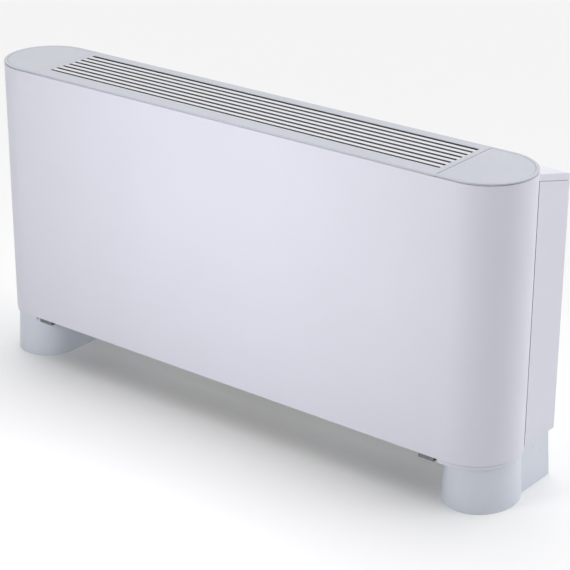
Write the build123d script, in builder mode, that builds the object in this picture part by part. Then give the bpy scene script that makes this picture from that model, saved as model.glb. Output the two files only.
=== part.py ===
"""Floor-standing fan convector heater, in millimetres.

+X runs along the heater to its right-hand end, +Y goes back to the wall and +Z is up.
The origin is on the floor, under the middle of the overall box.
A cabinet with two round ends stands on two hollow feet, and a shallow square box behind it
brings it out to the wall. Air comes in from below through a sliding filter, two centrifugal
fans blow it up through an inclined water coil, and it leaves through the louvres on top.
"""

import math
import os

from build123d import *

os.makedirs("parts", exist_ok=True)

# ---------------------------------------------------------------- driving dimensions
LENGTH = 1100.0
DEPTH = 225.0
HEIGHT = 568.0
CABINET_DEPTH = 166.0
FOOT_HEIGHT = 81.5
COVER_BOTTOM = 88.0
SHEET = 1.2
GAP = 0.3

FRONT_Y = -DEPTH / 2
BACK_Y = DEPTH / 2
END_R = CABINET_DEPTH / 2
CABINET_Y = FRONT_Y + END_R
CABINET_BACK_Y = CABINET_Y + END_R
END_X = LENGTH / 2 - END_R

# Rear box behind the cabinet, with a lid that slopes down to the wall.
BOX_X = 535.0
LID_FRONT_Z = 547.2
LID_SLOPE = 0.258
LID_SKIRT = 11.6
LID_SEAM = 0.8

# Top of the cabinet.
TOP_THICKNESS = 2.7
COVER_TOP = HEIGHT - TOP_THICKNESS - 0.8
GRILLE_X = 427.0
OPENING_X = 416.0
OPENING_FRONT_Y = -82.0
LOUVRE_COUNT = 7
LOUVRE_PITCH = 15.3
LOUVRE_WIDTH = 8.9
LOUVRE_SLOT = LOUVRE_PITCH - LOUVRE_WIDTH
OPENING_BACK_Y = OPENING_FRONT_Y + LOUVRE_COUNT * LOUVRE_PITCH + LOUVRE_SLOT
COLLAR_BOTTOM = 545.0

# Hinged flaps in the end caps.
FLAP_THICKNESS = 3.0
FLAP_INSET = 6.0
FLAP_GAP = 0.4
FLAP_AXIS_X = GRILLE_X + 0.5 + FLAP_THICKNESS / 2
FLAP_AXIS_Z = HEIGHT - FLAP_THICKNESS / 2
FLAP_PIN_R = 1.2
FLAP_PIN_LENGTH = 4.0
RUNNING = 0.05

# Chassis.
CHASSIS_X = 420.0
PLATE = 1.2
CHASSIS_FRONT_Y = -106.0
BACK_PLATE_Y = BACK_Y - 2 * PLATE
RAIL_Z = COVER_BOTTOM + SHEET
SIDE_PLATE_Z = RAIL_Z + PLATE
REAR_RAIL_Y = 80.0
DECK_Z = 262.0
WALL_BOLT_X = 380.0
WALL_BOLT_Z = (150.0, 500.0)
WALL_BOLT_R = 4.5

# Fans.
FAN_Y = 12.0
FAN_Z = 172.0
IMPELLER_R = 60.0
IMPELLER_WIDTH = 196.0
HOUSING_WIDTH = 216.0
HOUSING_X = 215.0
SHAFT_R = 5.0
BLADE_COUNT = 32

# Water coil.
COIL_TILT = 22.0
COIL_Y = -12.0
COIL_Z = 405.0
COIL_THICKNESS = 50.0
COIL_HEIGHT = 225.0
COIL_PLATE = 1.5
COIL_HALF_X = CHASSIS_X - PLATE - COIL_PLATE
TUBE_PITCH = 25.0
TUBES_IN_ROW = 9
TUBE_R = 4.8
TUBE_BORE_R = 4.3
PIPE_X = 490.0
SPOUT_Y = -74.0
SPOUT_Z = 273.0
SPOUT_R = 8.0

# Filter and its turn latches.
FILTER_X = 402.0
FILTER_Z = 81.8
FILTER_THICKNESS = 4.4
LATCH_X = 436.0
LATCH_Y = -97.0
LATCH_SCREW_R = 1.9


# ---------------------------------------------------------------- helpers
def save(name, node):
    """Labels one finished node and writes it."""
    node.part.label = name
    export_step(node.part, f"parts/{name}.step")


def mirrored(right):
    """The left-hand twin of a right-hand node."""
    with BuildPart() as left:
        mirror(right.part, about=Plane.YZ)
    return left


def end_plan(radius, inner_x):
    """Plan of the right-hand cabinet end: straight to inner_x, round outside."""
    with BuildSketch() as plan:
        with Locations((END_X, CABINET_Y)):
            Circle(radius)
        with Locations(((inner_x + END_X) / 2, CABINET_Y)):
            Rectangle(END_X - inner_x, 2 * radius)
        with Locations((inner_x - radius, CABINET_Y)):
            Rectangle(2 * radius, 3 * radius, mode=Mode.SUBTRACT)
    return plan.sketch


def cabinet_plan(radius):
    """Plan of the whole cabinet: a long shape with two round ends."""
    with BuildSketch() as plan:
        with Locations((0, CABINET_Y)):
            SlotCenterToCenter(2 * END_X, 2 * radius)
    return plan.sketch


def lid_z(y):
    """Height of the rear lid's top face at a given Y."""
    return LID_FRONT_Z - LID_SLOPE * (y - CABINET_BACK_Y)


CABINET_CLEAR = cabinet_plan(END_R + GAP)
JOIN_ANGLE = math.degrees(math.acos((BOX_X - END_X) / END_R))
JOIN_Y = CABINET_Y + END_R * math.sin(math.radians(JOIN_ANGLE))


# ---------------------------------------------------------------- front cover
def cover_band(outer_r, inner_r):
    """Plan of a band that follows the cabinet's front and both round ends, open at the back."""
    with BuildSketch() as band:
        add(cabinet_plan(outer_r))
        add(cabinet_plan(inner_r), mode=Mode.SUBTRACT)
        with Locations((0, JOIN_Y + END_R)):
            Rectangle(2 * LENGTH, 2 * END_R, mode=Mode.SUBTRACT)
    return band.sketch


HEM_WIDTH = 12.0
COVER_WALL = cover_band(END_R, END_R - SHEET)
COVER_HEM = cover_band(END_R, END_R - HEM_WIDTH)
COVER_SCREW_X = (-350.0, -150.0, 150.0, 350.0)
COVER_SCREW_Y = FRONT_Y + 7.0
COVER_SCREW_R = 1.8

with BuildPart() as front_cover:
    with BuildSketch(Plane.XY.offset(COVER_BOTTOM)):
        add(COVER_WALL)
    extrude(amount=COVER_TOP - COVER_BOTTOM)
    with BuildSketch(Plane.XY.offset(COVER_BOTTOM)):
        add(COVER_HEM)
    extrude(amount=SHEET)
    with Locations([(x, COVER_SCREW_Y, COVER_BOTTOM) for x in COVER_SCREW_X]):
        Cylinder(COVER_SCREW_R, 4 * SHEET, mode=Mode.SUBTRACT)
save("front_cover", front_cover)

# ---------------------------------------------------------------- top grille
COLLAR = 2.0
COLLAR_BACK_STEP = 4.0
SKIRT = 2.0
REAR_SKIRT_Z = 535.0
REAR_LEDGE = 1.2
FRAME_BOTTOM = HEIGHT - TOP_THICKNESS
LEDGE_BOTTOM = HEIGHT - REAR_LEDGE
OPENING_MID_Y = (OPENING_FRONT_Y + OPENING_BACK_Y) / 2
OPENING_DEPTH = OPENING_BACK_Y - OPENING_FRONT_Y
COLLAR_MID_Y = OPENING_MID_Y + COLLAR_BACK_STEP / 2
COLLAR_DEPTH = OPENING_DEPTH + COLLAR_BACK_STEP

with BuildPart() as grille_frame:
    with BuildSketch(Plane.XY.offset(FRAME_BOTTOM)):
        with Locations((0, CABINET_Y)):
            Rectangle(2 * GRILLE_X, CABINET_DEPTH)
    extrude(amount=TOP_THICKNESS)
    rim = grille_frame.edges().filter_by(Axis.X).group_by(Axis.Z)[-1]
    fillet(rim, radius=1.2)
    with BuildSketch(Plane.XY.offset(FRAME_BOTTOM)):
        with Locations((0, OPENING_MID_Y)):
            Rectangle(2 * OPENING_X, OPENING_DEPTH)
    extrude(amount=TOP_THICKNESS, mode=Mode.SUBTRACT)
    with BuildSketch(Plane.XY.offset(COLLAR_BOTTOM)):
        with Locations((0, COLLAR_MID_Y)):
            Rectangle(2 * (OPENING_X + COLLAR), COLLAR_DEPTH + 2 * COLLAR)
            Rectangle(2 * OPENING_X, COLLAR_DEPTH, mode=Mode.SUBTRACT)
    extrude(amount=FRAME_BOTTOM - COLLAR_BOTTOM)
    # The rear edge of the opening is thin, so that the slot in front of it reads as open.
    with BuildSketch(Plane.XY.offset(FRAME_BOTTOM)):
        with Locations((0, OPENING_BACK_Y + COLLAR_BACK_STEP / 2)):
            Rectangle(2 * OPENING_X, COLLAR_BACK_STEP)
    extrude(amount=LEDGE_BOTTOM - FRAME_BOTTOM, mode=Mode.SUBTRACT)
    with Locations((0, FRONT_Y + SHEET + GAP + SKIRT / 2, (COLLAR_BOTTOM + FRAME_BOTTOM) / 2)):
        Box(2 * CHASSIS_X, SKIRT, FRAME_BOTTOM - COLLAR_BOTTOM)
    with Locations((0, CABINET_BACK_Y - SKIRT / 2, (REAR_SKIRT_Z + FRAME_BOTTOM) / 2)):
        Box(2 * GRILLE_X, SKIRT, FRAME_BOTTOM - REAR_SKIRT_Z)
save("grille_frame", grille_frame)

# Each louvre is a broad crowned strip on a web that leans back, to throw the air forwards.
LOUVRE_TOP = HEIGHT - 0.2
LOUVRE_LIP = 1.0
LOUVRE_EDGE = 0.35
LOUVRE_SHOULDER = 0.05
WEB = 1.8
WEB_LEAN = 4.0
WEB_BOTTOM = 553.0


def louvre_profile(y):
    """YZ outline of one louvre whose top is centred on y."""
    half = LOUVRE_WIDTH / 2
    return [
        (y - half, LOUVRE_TOP - LOUVRE_EDGE),
        (y - half + 1.0, LOUVRE_TOP - LOUVRE_SHOULDER),
        (y, LOUVRE_TOP),
        (y + half - 1.0, LOUVRE_TOP - LOUVRE_SHOULDER),
        (y + half, LOUVRE_TOP - LOUVRE_EDGE),
        (y + half, LOUVRE_TOP - LOUVRE_LIP),
        (y + WEB / 2, LOUVRE_TOP - LOUVRE_LIP - 1.0),
        (y + WEB / 2 + WEB_LEAN, WEB_BOTTOM),
        (y - WEB / 2 + WEB_LEAN, WEB_BOTTOM),
        (y - WEB / 2, LOUVRE_TOP - LOUVRE_LIP - 1.0),
        (y - half, LOUVRE_TOP - LOUVRE_LIP),
    ]


LOUVRE_YS = [
    OPENING_FRONT_Y + LOUVRE_SLOT + LOUVRE_WIDTH / 2 + i * LOUVRE_PITCH for i in range(LOUVRE_COUNT)
]

with BuildPart() as louvres:
    with BuildSketch(Plane.YZ.offset(-OPENING_X)):
        for louvre_y in LOUVRE_YS:
            with BuildLine():
                Polyline(*louvre_profile(louvre_y), close=True)
            make_face()
    extrude(amount=2 * OPENING_X)
save("louvres", louvres)

RIB_X = (-312.0, -156.0, 0.0, 156.0, 312.0)
RIB = 2.0
RIB_HEIGHT = 6.0
RIB_BOTTOM = WEB_BOTTOM - RIB_HEIGHT
LINER = 0.8
LINER_HALF_X = OPENING_X - 0.1

# Ribs under the louvres, joined at both ends by a liner on the collar's front and rear walls.
with BuildPart() as louvre_ribs:
    with Locations([(x, COLLAR_MID_Y, (RIB_BOTTOM + WEB_BOTTOM) / 2) for x in RIB_X]):
        Box(RIB, COLLAR_DEPTH, RIB_HEIGHT)
    with Locations((0, OPENING_FRONT_Y + LINER / 2, (RIB_BOTTOM + FRAME_BOTTOM) / 2)):
        Box(2 * LINER_HALF_X, LINER, FRAME_BOTTOM - RIB_BOTTOM)
    liner_back_y = OPENING_BACK_Y + COLLAR_BACK_STEP - LINER / 2
    with Locations((0, liner_back_y, (RIB_BOTTOM + LEDGE_BOTTOM) / 2)):
        Box(2 * LINER_HALF_X, LINER, LEDGE_BOTTOM - RIB_BOTTOM)
save("louvre_ribs", louvre_ribs)

# ---------------------------------------------------------------- end caps and flaps
CAP_LIP = 2.0
CAP_WALL = 2.0
CAP_LEDGE = 3.0
CAP_BOTTOM = 540.0
CAP_INNER_X = GRILLE_X + 0.4
FLAP_R = END_R - FLAP_INSET
FLAP_BOTTOM = HEIGHT - FLAP_THICKNESS
SKIRT_R = END_R - SHEET - GAP
LEDGE_TOP = FLAP_BOTTOM - GAP
SMALL_SCREW_R = 1.5
SOCKET_X = 500.0
SOCKET_R = 3.2
SOCKET_DEPTH = 12.0
SOCKET_RIB = 12.0
SOCKET_YS = [CABINET_Y + s * 60.0 for s in (-1, 1)]
SOCKET_RIB_YS = [CABINET_Y + s * 67.0 for s in (-1, 1)]
PIN_SEATS_Y = [CABINET_Y + s * (FLAP_R - FLAP_GAP + FLAP_PIN_LENGTH / 2) for s in (-1, 1)]

with BuildPart() as end_cap_right:
    # Lip that lies over the cover's top edge.
    with BuildSketch(Plane.XY.offset(HEIGHT - CAP_LIP)):
        add(end_plan(END_R, CAP_INNER_X))
    extrude(amount=CAP_LIP)
    fillet(end_cap_right.edges().group_by(Axis.Z)[-1].sort_by(Axis.X)[1:], radius=1.0)
    # Wall inside the cover, its bottom and the ledge that the flap rests on.
    with BuildSketch(Plane.XY.offset(CAP_BOTTOM)):
        add(end_plan(SKIRT_R, CAP_INNER_X))
    extrude(amount=HEIGHT - CAP_LIP - CAP_BOTTOM)
    with BuildSketch(Plane.XY.offset(CAP_BOTTOM - 1.0)):
        add(end_plan(FLAP_R - CAP_LEDGE, CAP_INNER_X + CAP_WALL))
    extrude(amount=HEIGHT, mode=Mode.SUBTRACT)
    with BuildSketch(Plane.XY.offset(LEDGE_TOP)):
        add(end_plan(FLAP_R, CAP_INNER_X - 5.0))
    extrude(amount=HEIGHT, mode=Mode.SUBTRACT)
    with BuildSketch(Plane.XY.offset(CAP_BOTTOM - 1.0)):
        add(end_plan(SKIRT_R - CAP_WALL, CAP_INNER_X + CAP_WALL))
    extrude(amount=LEDGE_TOP - CAP_LEDGE + 1.0 - CAP_BOTTOM, mode=Mode.SUBTRACT)
    with Locations([(FLAP_AXIS_X, y, FLAP_AXIS_Z) for y in PIN_SEATS_Y]):
        Cylinder(
            FLAP_PIN_R + RUNNING, FLAP_PIN_LENGTH + 1.0, rotation=(90, 0, 0), mode=Mode.SUBTRACT
        )
    # Sockets for the control plate's screws.
    with Locations([(SOCKET_X, y, CAP_BOTTOM + SOCKET_DEPTH / 2) for y in SOCKET_YS]):
        Cylinder(SOCKET_R, SOCKET_DEPTH)
    with Locations([(SOCKET_X, y, CAP_BOTTOM + SOCKET_DEPTH / 2) for y in SOCKET_RIB_YS]):
        Box(3.0, SOCKET_RIB, SOCKET_DEPTH)
    with Locations([(SOCKET_X, y, CAP_BOTTOM + SOCKET_DEPTH / 2 - 2.0) for y in SOCKET_YS]):
        Cylinder(SMALL_SCREW_R, SOCKET_DEPTH, mode=Mode.SUBTRACT)
save("end_cap_right", end_cap_right)
save("end_cap_left", mirrored(end_cap_right))

with BuildPart() as flap_right:
    with BuildSketch(Plane.XY.offset(FLAP_BOTTOM)):
        add(end_plan(FLAP_R - FLAP_GAP, FLAP_AXIS_X))
    extrude(amount=FLAP_THICKNESS)
    fillet(flap_right.edges().group_by(Axis.Z)[-1].sort_by(Axis.X)[1:], radius=0.6)
    with Locations((FLAP_AXIS_X, CABINET_Y, FLAP_AXIS_Z)):
        Cylinder(FLAP_THICKNESS / 2, 2 * (FLAP_R - FLAP_GAP), rotation=(90, 0, 0))
        Cylinder(FLAP_PIN_R, 2 * (FLAP_R - FLAP_GAP + FLAP_PIN_LENGTH), rotation=(90, 0, 0))
    # Stiffening ribs underneath, clear of the ledge.
    with Locations([(490.0, CABINET_Y + y, FLAP_BOTTOM - 1.5) for y in (-35.0, 0.0, 35.0)]):
        Box(80.0, 1.6, 3.0)
save("flap_right", flap_right)
save("flap_left", mirrored(flap_right))

# ---------------------------------------------------------------- rear box
with BuildPart() as rear_lid:
    with BuildSketch(Plane.YZ.offset(-BOX_X)):
        with BuildLine():
            Polyline(
                (JOIN_Y - 5.0, lid_z(JOIN_Y - 5.0)),
                (BACK_Y, lid_z(BACK_Y)),
                (BACK_Y, lid_z(BACK_Y) - LID_SKIRT),
                (BACK_Y - SHEET, lid_z(BACK_Y) - LID_SKIRT),
                (BACK_Y - SHEET, lid_z(BACK_Y) - SHEET),
                (JOIN_Y - 5.0, lid_z(JOIN_Y - 5.0) - SHEET),
                close=True,
            )
        make_face()
    extrude(amount=2 * BOX_X)
    for skirt_x in (-BOX_X, BOX_X - SHEET):
        with BuildSketch(Plane.YZ.offset(skirt_x)):
            with BuildLine():
                Polyline(
                    (JOIN_Y - 5.0, lid_z(JOIN_Y - 5.0)),
                    (BACK_Y, lid_z(BACK_Y)),
                    (BACK_Y, lid_z(BACK_Y) - LID_SKIRT),
                    (JOIN_Y - 5.0, lid_z(JOIN_Y - 5.0) - LID_SKIRT),
                    close=True,
                )
            make_face()
        extrude(amount=SHEET)
    with BuildSketch(Plane.XY.offset(500.0)):
        add(CABINET_CLEAR)
    extrude(amount=100.0, mode=Mode.SUBTRACT)
save("rear_lid", rear_lid)

RETURN_FLANGE = 20.0
SIDE_GAP = 1.2

with BuildPart() as rear_side_right:
    with BuildSketch(Plane.YZ.offset(BOX_X - SHEET)):
        with BuildLine():
            Polyline(
                (JOIN_Y - 5.0, FOOT_HEIGHT),
                (BACK_Y, FOOT_HEIGHT),
                (BACK_Y, lid_z(BACK_Y) - LID_SKIRT - LID_SEAM),
                (JOIN_Y - 5.0, lid_z(JOIN_Y - 5.0) - LID_SKIRT - LID_SEAM),
                close=True,
            )
        make_face()
    extrude(amount=SHEET)
    flange_top = lid_z(BACK_Y) - LID_SKIRT - LID_SEAM
    with Locations((BOX_X - RETURN_FLANGE / 2, BACK_Y - SHEET / 2, (FOOT_HEIGHT + flange_top) / 2)):
        Box(RETURN_FLANGE, SHEET, flange_top - FOOT_HEIGHT)
    with BuildSketch(Plane.XY.offset(FOOT_HEIGHT)):
        add(cabinet_plan(END_R + SIDE_GAP))
    extrude(amount=HEIGHT, mode=Mode.SUBTRACT)
save("rear_side_right", rear_side_right)
save("rear_side_left", mirrored(rear_side_right))

# ---------------------------------------------------------------- base caps and feet
BASE_INSET = 0.8
BASE_FRAME = 12.0
BASE_GROOVE = 0.8
BASE_GROOVE_DEPTH = 3.0
BASE_X0 = 452.0
BASE_BACK_Y = 108.0
BASE_HEIGHT = COVER_BOTTOM - FOOT_HEIGHT
BASE_OUTER_X = BOX_X - SHEET - GAP


def base_plan(inset):
    """Plan of one base cap: the cabinet end in front and the rear box behind."""
    radius = END_R - BASE_INSET - inset
    with BuildSketch() as plan:
        add(end_plan(radius, BASE_X0 + inset))
        low_x = BASE_X0 + inset
        high_x = BASE_OUTER_X - inset
        high_y = BASE_BACK_Y - inset
        with Locations(((low_x + high_x) / 2, (CABINET_Y + high_y) / 2)):
            Rectangle(high_x - low_x, high_y - CABINET_Y)
    return plan.sketch


FRONT_SCREW_R = 72.5
FRONT_SCREW_ANGLE = math.radians(-30.0)
FOOT_SCREWS = [
    (458.0, -40.0),
    (458.0, 70.0),
    (526.5, 70.0),
    (
        END_X + FRONT_SCREW_R * math.cos(FRONT_SCREW_ANGLE),
        CABINET_Y + FRONT_SCREW_R * math.sin(FRONT_SCREW_ANGLE),
    ),
]
FOOT_SCREW_R = 1.5

with BuildPart() as base_cap_right:
    with BuildSketch(Plane.XY.offset(FOOT_HEIGHT)):
        add(base_plan(0.0))
        add(base_plan(BASE_FRAME), mode=Mode.SUBTRACT)
    extrude(amount=BASE_HEIGHT)
    # A shadow gap just under the cover.
    with BuildSketch(Plane.XY.offset(COVER_BOTTOM - BASE_GROOVE)):
        add(base_plan(0.0))
        add(base_plan(BASE_GROOVE_DEPTH), mode=Mode.SUBTRACT)
    extrude(amount=BASE_GROOVE, mode=Mode.SUBTRACT)
    with Locations([(x, y, FOOT_HEIGHT + BASE_HEIGHT / 2) for x, y in FOOT_SCREWS]):
        Cylinder(FOOT_SCREW_R, BASE_HEIGHT, mode=Mode.SUBTRACT)
save("base_cap_right", base_cap_right)
save("base_cap_left", mirrored(base_cap_right))

# The foot flares by 4 mm all round on its way down. Its outer side follows the cabinet's round
# end, a second arc turns smoothly onto the straight inner side, and the rear part is square.
FOOT_FLARE = 4.0
FOOT_WALL = 3.0
FOOT_TOP_FLANGE = 3.0
FOOT_LEDGE = 10.0
FOOT_INNER_X = 429.5
FOOT_OUTER_X = 537.5
FOOT_BACK_Y = 101.5
FOOT_CORNER_R = 57.5
FOOT_CORNER_X = FOOT_INNER_X + FOOT_CORNER_R
FOOT_CORNER_DY = math.sqrt((END_R - FOOT_CORNER_R) ** 2 - (FOOT_CORNER_X - END_X) ** 2)
FOOT_CORNER_Y = CABINET_Y - FOOT_CORNER_DY


def foot_plan(inset):
    """Plan of the right-hand foot, its outline moved in by inset."""
    outer_r = END_R - inset
    corner_r = FOOT_CORNER_R - inset
    outer_x = FOOT_OUTER_X - inset
    inner_x = FOOT_INNER_X + inset
    back_y = FOOT_BACK_Y - inset
    meet = math.acos((outer_x - END_X) / outer_r)
    turn = math.atan2(FOOT_CORNER_Y - CABINET_Y, FOOT_CORNER_X - END_X)
    middle = (turn + meet) / 2
    corner_mid = (turn - math.pi) / 2

    def on_outer(angle):
        return (END_X + outer_r * math.cos(angle), CABINET_Y + outer_r * math.sin(angle))

    def on_corner(angle):
        x = FOOT_CORNER_X + corner_r * math.cos(angle)
        return (x, FOOT_CORNER_Y + corner_r * math.sin(angle))

    with BuildSketch() as plan:
        with BuildLine():
            ThreePointArc(on_outer(meet), on_outer(middle), on_outer(turn))
            ThreePointArc(on_outer(turn), on_corner(corner_mid), on_corner(-math.pi))
            Line(on_corner(-math.pi), (inner_x, back_y))
            Line((inner_x, back_y), (outer_x, back_y))
            Line((outer_x, back_y), on_outer(meet))
        make_face()
    return plan.sketch


PIPE_SLOT_X = 483.0
PIPE_SLOT_WIDTH = 56.0
PIPE_SLOT_HEIGHT = 58.0

with BuildPart() as foot_right:
    with BuildSketch(Plane.XY):
        add(foot_plan(0.0))
    with BuildSketch(Plane.XY.offset(FOOT_HEIGHT)):
        add(foot_plan(FOOT_FLARE))
    loft(ruled=True)
    with BuildSketch(Plane.XY):
        add(foot_plan(FOOT_WALL))
    with BuildSketch(Plane.XY.offset(FOOT_HEIGHT - FOOT_TOP_FLANGE)):
        add(foot_plan(FOOT_WALL + FOOT_FLARE))
    loft(ruled=True, mode=Mode.SUBTRACT)
    with BuildSketch(Plane.XY.offset(FOOT_HEIGHT - FOOT_TOP_FLANGE)):
        add(base_plan(BASE_FRAME))
        add(foot_plan(FOOT_FLARE + FOOT_LEDGE), mode=Mode.INTERSECT)
    extrude(amount=FOOT_TOP_FLANGE, mode=Mode.SUBTRACT)
    # Knock-out in the back for pipes and cables that come from the wall.
    with Locations((PIPE_SLOT_X, FOOT_BACK_Y, PIPE_SLOT_HEIGHT / 2)):
        Box(PIPE_SLOT_WIDTH, 16.0, PIPE_SLOT_HEIGHT, mode=Mode.SUBTRACT)
    with Locations([(x, y, FOOT_HEIGHT) for x, y in FOOT_SCREWS]):
        Cylinder(FOOT_SCREW_R, 4 * FOOT_TOP_FLANGE, mode=Mode.SUBTRACT)
save("foot_right", foot_right)
save("foot_left", mirrored(foot_right))

SCREW_HEAD_R = 3.2
SCREW_HEAD = 1.8

with BuildPart() as foot_screws:
    for side in (-1, 1):
        top = FOOT_HEIGHT + BASE_HEIGHT - 1.0
        low = FOOT_HEIGHT - FOOT_TOP_FLANGE
        with Locations([(side * x, y, (top + low) / 2) for x, y in FOOT_SCREWS]):
            Cylinder(FOOT_SCREW_R, top - low)
        with Locations([(side * x, y, low - SCREW_HEAD / 2) for x, y in FOOT_SCREWS]):
            Cylinder(SCREW_HEAD_R, SCREW_HEAD)
save("foot_screws", foot_screws)

# ---------------------------------------------------------------- chassis
FRONT_RAIL_BACK_Y = -84.0
FRONT_RAIL_X = 505.0
LATCH_XS = (-LATCH_X, LATCH_X)

with BuildPart() as front_rail:
    rail_front_y = FRONT_Y + SHEET + GAP
    rail_depth = FRONT_RAIL_BACK_Y - rail_front_y
    rail_mid_y = (FRONT_RAIL_BACK_Y + rail_front_y) / 2
    with BuildSketch(Plane.XY.offset(RAIL_Z)):
        with Locations((0, rail_mid_y)):
            Rectangle(2 * FRONT_RAIL_X, rail_depth)
        add(cabinet_plan(END_R - SHEET - GAP), mode=Mode.INTERSECT)
    extrude(amount=PLATE)
    with Locations((0, FRONT_RAIL_BACK_Y - PLATE / 2, RAIL_Z + PLATE + 9.0)):
        Box(2 * (CHASSIS_X - PLATE - GAP), PLATE, 18.0)
    with Locations([(x, LATCH_Y, RAIL_Z) for x in LATCH_XS]):
        Cylinder(LATCH_SCREW_R, 4 * PLATE, mode=Mode.SUBTRACT)
    with Locations([(x, COVER_SCREW_Y, RAIL_Z) for x in COVER_SCREW_X]):
        Cylinder(COVER_SCREW_R, 4 * PLATE, mode=Mode.SUBTRACT)
save("front_rail", front_rail)

with BuildPart() as rear_rail:
    rail_height = SIDE_PLATE_Z - COVER_BOTTOM
    with Locations((0, (REAR_RAIL_Y + BACK_PLATE_Y) / 2, COVER_BOTTOM + rail_height / 2)):
        Box(2 * (BOX_X - SHEET - GAP), BACK_PLATE_Y - REAR_RAIL_Y, rail_height)
save("rear_rail", rear_rail)

SIDE_FLANGE = 12.0
BACK_SCREW_X = CHASSIS_X + SIDE_FLANGE / 2
BACK_SCREW_Z = (130.0, 310.0, 490.0)
BACK_SCREW_R = 1.8
COIL_WINDOW = COIL_THICKNESS - 4.0

with BuildPart() as side_plate_right:
    flange_top = CAP_BOTTOM - 1.0
    lid_under = lid_z(BACK_PLATE_Y) - 2 * SHEET - 1.0
    with BuildSketch(Plane.YZ.offset(CHASSIS_X - PLATE)):
        with BuildLine():
            Polyline(
                (CHASSIS_FRONT_Y, SIDE_PLATE_Z),
                (BACK_PLATE_Y, SIDE_PLATE_Z),
                (BACK_PLATE_Y, lid_under),
                (CABINET_BACK_Y - SKIRT - GAP, lid_under),
                (CABINET_BACK_Y - SKIRT - GAP, COLLAR_BOTTOM),
                (CHASSIS_FRONT_Y, COLLAR_BOTTOM),
                close=True,
            )
        make_face()
    extrude(amount=PLATE)
    with Locations(
        (CHASSIS_X + SIDE_FLANGE / 2, CHASSIS_FRONT_Y + PLATE / 2, (SIDE_PLATE_Z + flange_top) / 2)
    ):
        Box(SIDE_FLANGE, PLATE, flange_top - SIDE_PLATE_Z)
    with Locations(
        (CHASSIS_X + SIDE_FLANGE / 2, BACK_PLATE_Y - PLATE / 2, (SIDE_PLATE_Z + lid_under) / 2)
    ):
        Box(SIDE_FLANGE, PLATE, lid_under - SIDE_PLATE_Z)
    # Openings for the coil's headers and the drain, which pass out to the side bay.
    with Locations((CHASSIS_X, COIL_Y, COIL_Z)):
        Box(4 * PLATE, COIL_WINDOW, COIL_HEIGHT, rotation=(-COIL_TILT, 0, 0), mode=Mode.SUBTRACT)
    with Locations((CHASSIS_X, SPOUT_Y, SPOUT_Z)):
        Cylinder(SPOUT_R + 0.4, 4 * PLATE, rotation=(0, 90, 0), mode=Mode.SUBTRACT)
    with Locations([(BACK_SCREW_X, BACK_PLATE_Y, z) for z in BACK_SCREW_Z]):
        Cylinder(BACK_SCREW_R, 4 * PLATE, rotation=(90, 0, 0), mode=Mode.SUBTRACT)
save("side_plate_right", side_plate_right)
save("side_plate_left", mirrored(side_plate_right))

BACK_SCREWS = [(s * BACK_SCREW_X, z) for s in (-1, 1) for z in BACK_SCREW_Z]
CABLE_X = -480.0
CABLE_Z = 200.0
GROMMET_R = 9.0
GROMMET_SEAT_R = 12.0

with BuildPart() as back_plate:
    low, high = SIDE_PLATE_Z, lid_z(BACK_Y) - LID_SKIRT - LID_SEAM - 1.0
    with Locations((0, BACK_PLATE_Y + PLATE / 2, (low + high) / 2)):
        Box(2 * (BOX_X - SHEET - GAP), PLATE, high - low)
    with Locations([(s * WALL_BOLT_X, BACK_PLATE_Y, z) for s in (-1, 1) for z in WALL_BOLT_Z]):
        Cylinder(WALL_BOLT_R, 6 * PLATE, rotation=(90, 0, 0), mode=Mode.SUBTRACT)
    with Locations([(x, BACK_PLATE_Y, z) for x, z in BACK_SCREWS]):
        Cylinder(BACK_SCREW_R, 6 * PLATE, rotation=(90, 0, 0), mode=Mode.SUBTRACT)
    with Locations((CABLE_X, BACK_PLATE_Y, CABLE_Z)):
        Cylinder(GROMMET_SEAT_R, 6 * PLATE, rotation=(90, 0, 0), mode=Mode.SUBTRACT)
    # Pressed stiffening grooves, which run along the plate.
    with Locations([(0, BACK_PLATE_Y, z) for z in (190.0, 325.0, 460.0)]):
        Box(640.0, 0.8, 10.0, mode=Mode.SUBTRACT)
save("back_plate", back_plate)

with BuildPart() as cable_grommet:
    with Locations((CABLE_X, BACK_PLATE_Y + PLATE / 2, CABLE_Z)):
        Cylinder(GROMMET_SEAT_R, PLATE, rotation=(90, 0, 0))
    with Locations((CABLE_X, BACK_PLATE_Y - 1.5, CABLE_Z)):
        Cylinder(GROMMET_SEAT_R + 3.0, 3.0, rotation=(90, 0, 0))
    with Locations((CABLE_X, BACK_PLATE_Y + PLATE + 0.5, CABLE_Z)):
        Cylinder(GROMMET_SEAT_R + 3.0, 1.0, rotation=(90, 0, 0))
    with Locations((CABLE_X, BACK_PLATE_Y, CABLE_Z)):
        Cylinder(GROMMET_R, 20.0, rotation=(90, 0, 0), mode=Mode.SUBTRACT)
save("cable_grommet", cable_grommet)

# ---------------------------------------------------------------- fans
DECK_X = CHASSIS_X - PLATE - GAP
DECK_FRONT_Y = CHASSIS_FRONT_Y + 0.5
DECK_BACK_Y = BACK_PLATE_Y - GAP
DECK_LIP = 12.0
SCROLL_R = 86.0
TONGUE_R = 66.0
SCROLL_SWEEP = 230.0
SCROLL_POINTS = 9
OUTLET_FRONT_Y = -20.0
OUTLET_BACK_Y = FAN_Y + SCROLL_R
HOUSING_WALL = 1.5
INLET_R = 48.0
FAN_XS = (-HOUSING_X, HOUSING_X)


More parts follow.
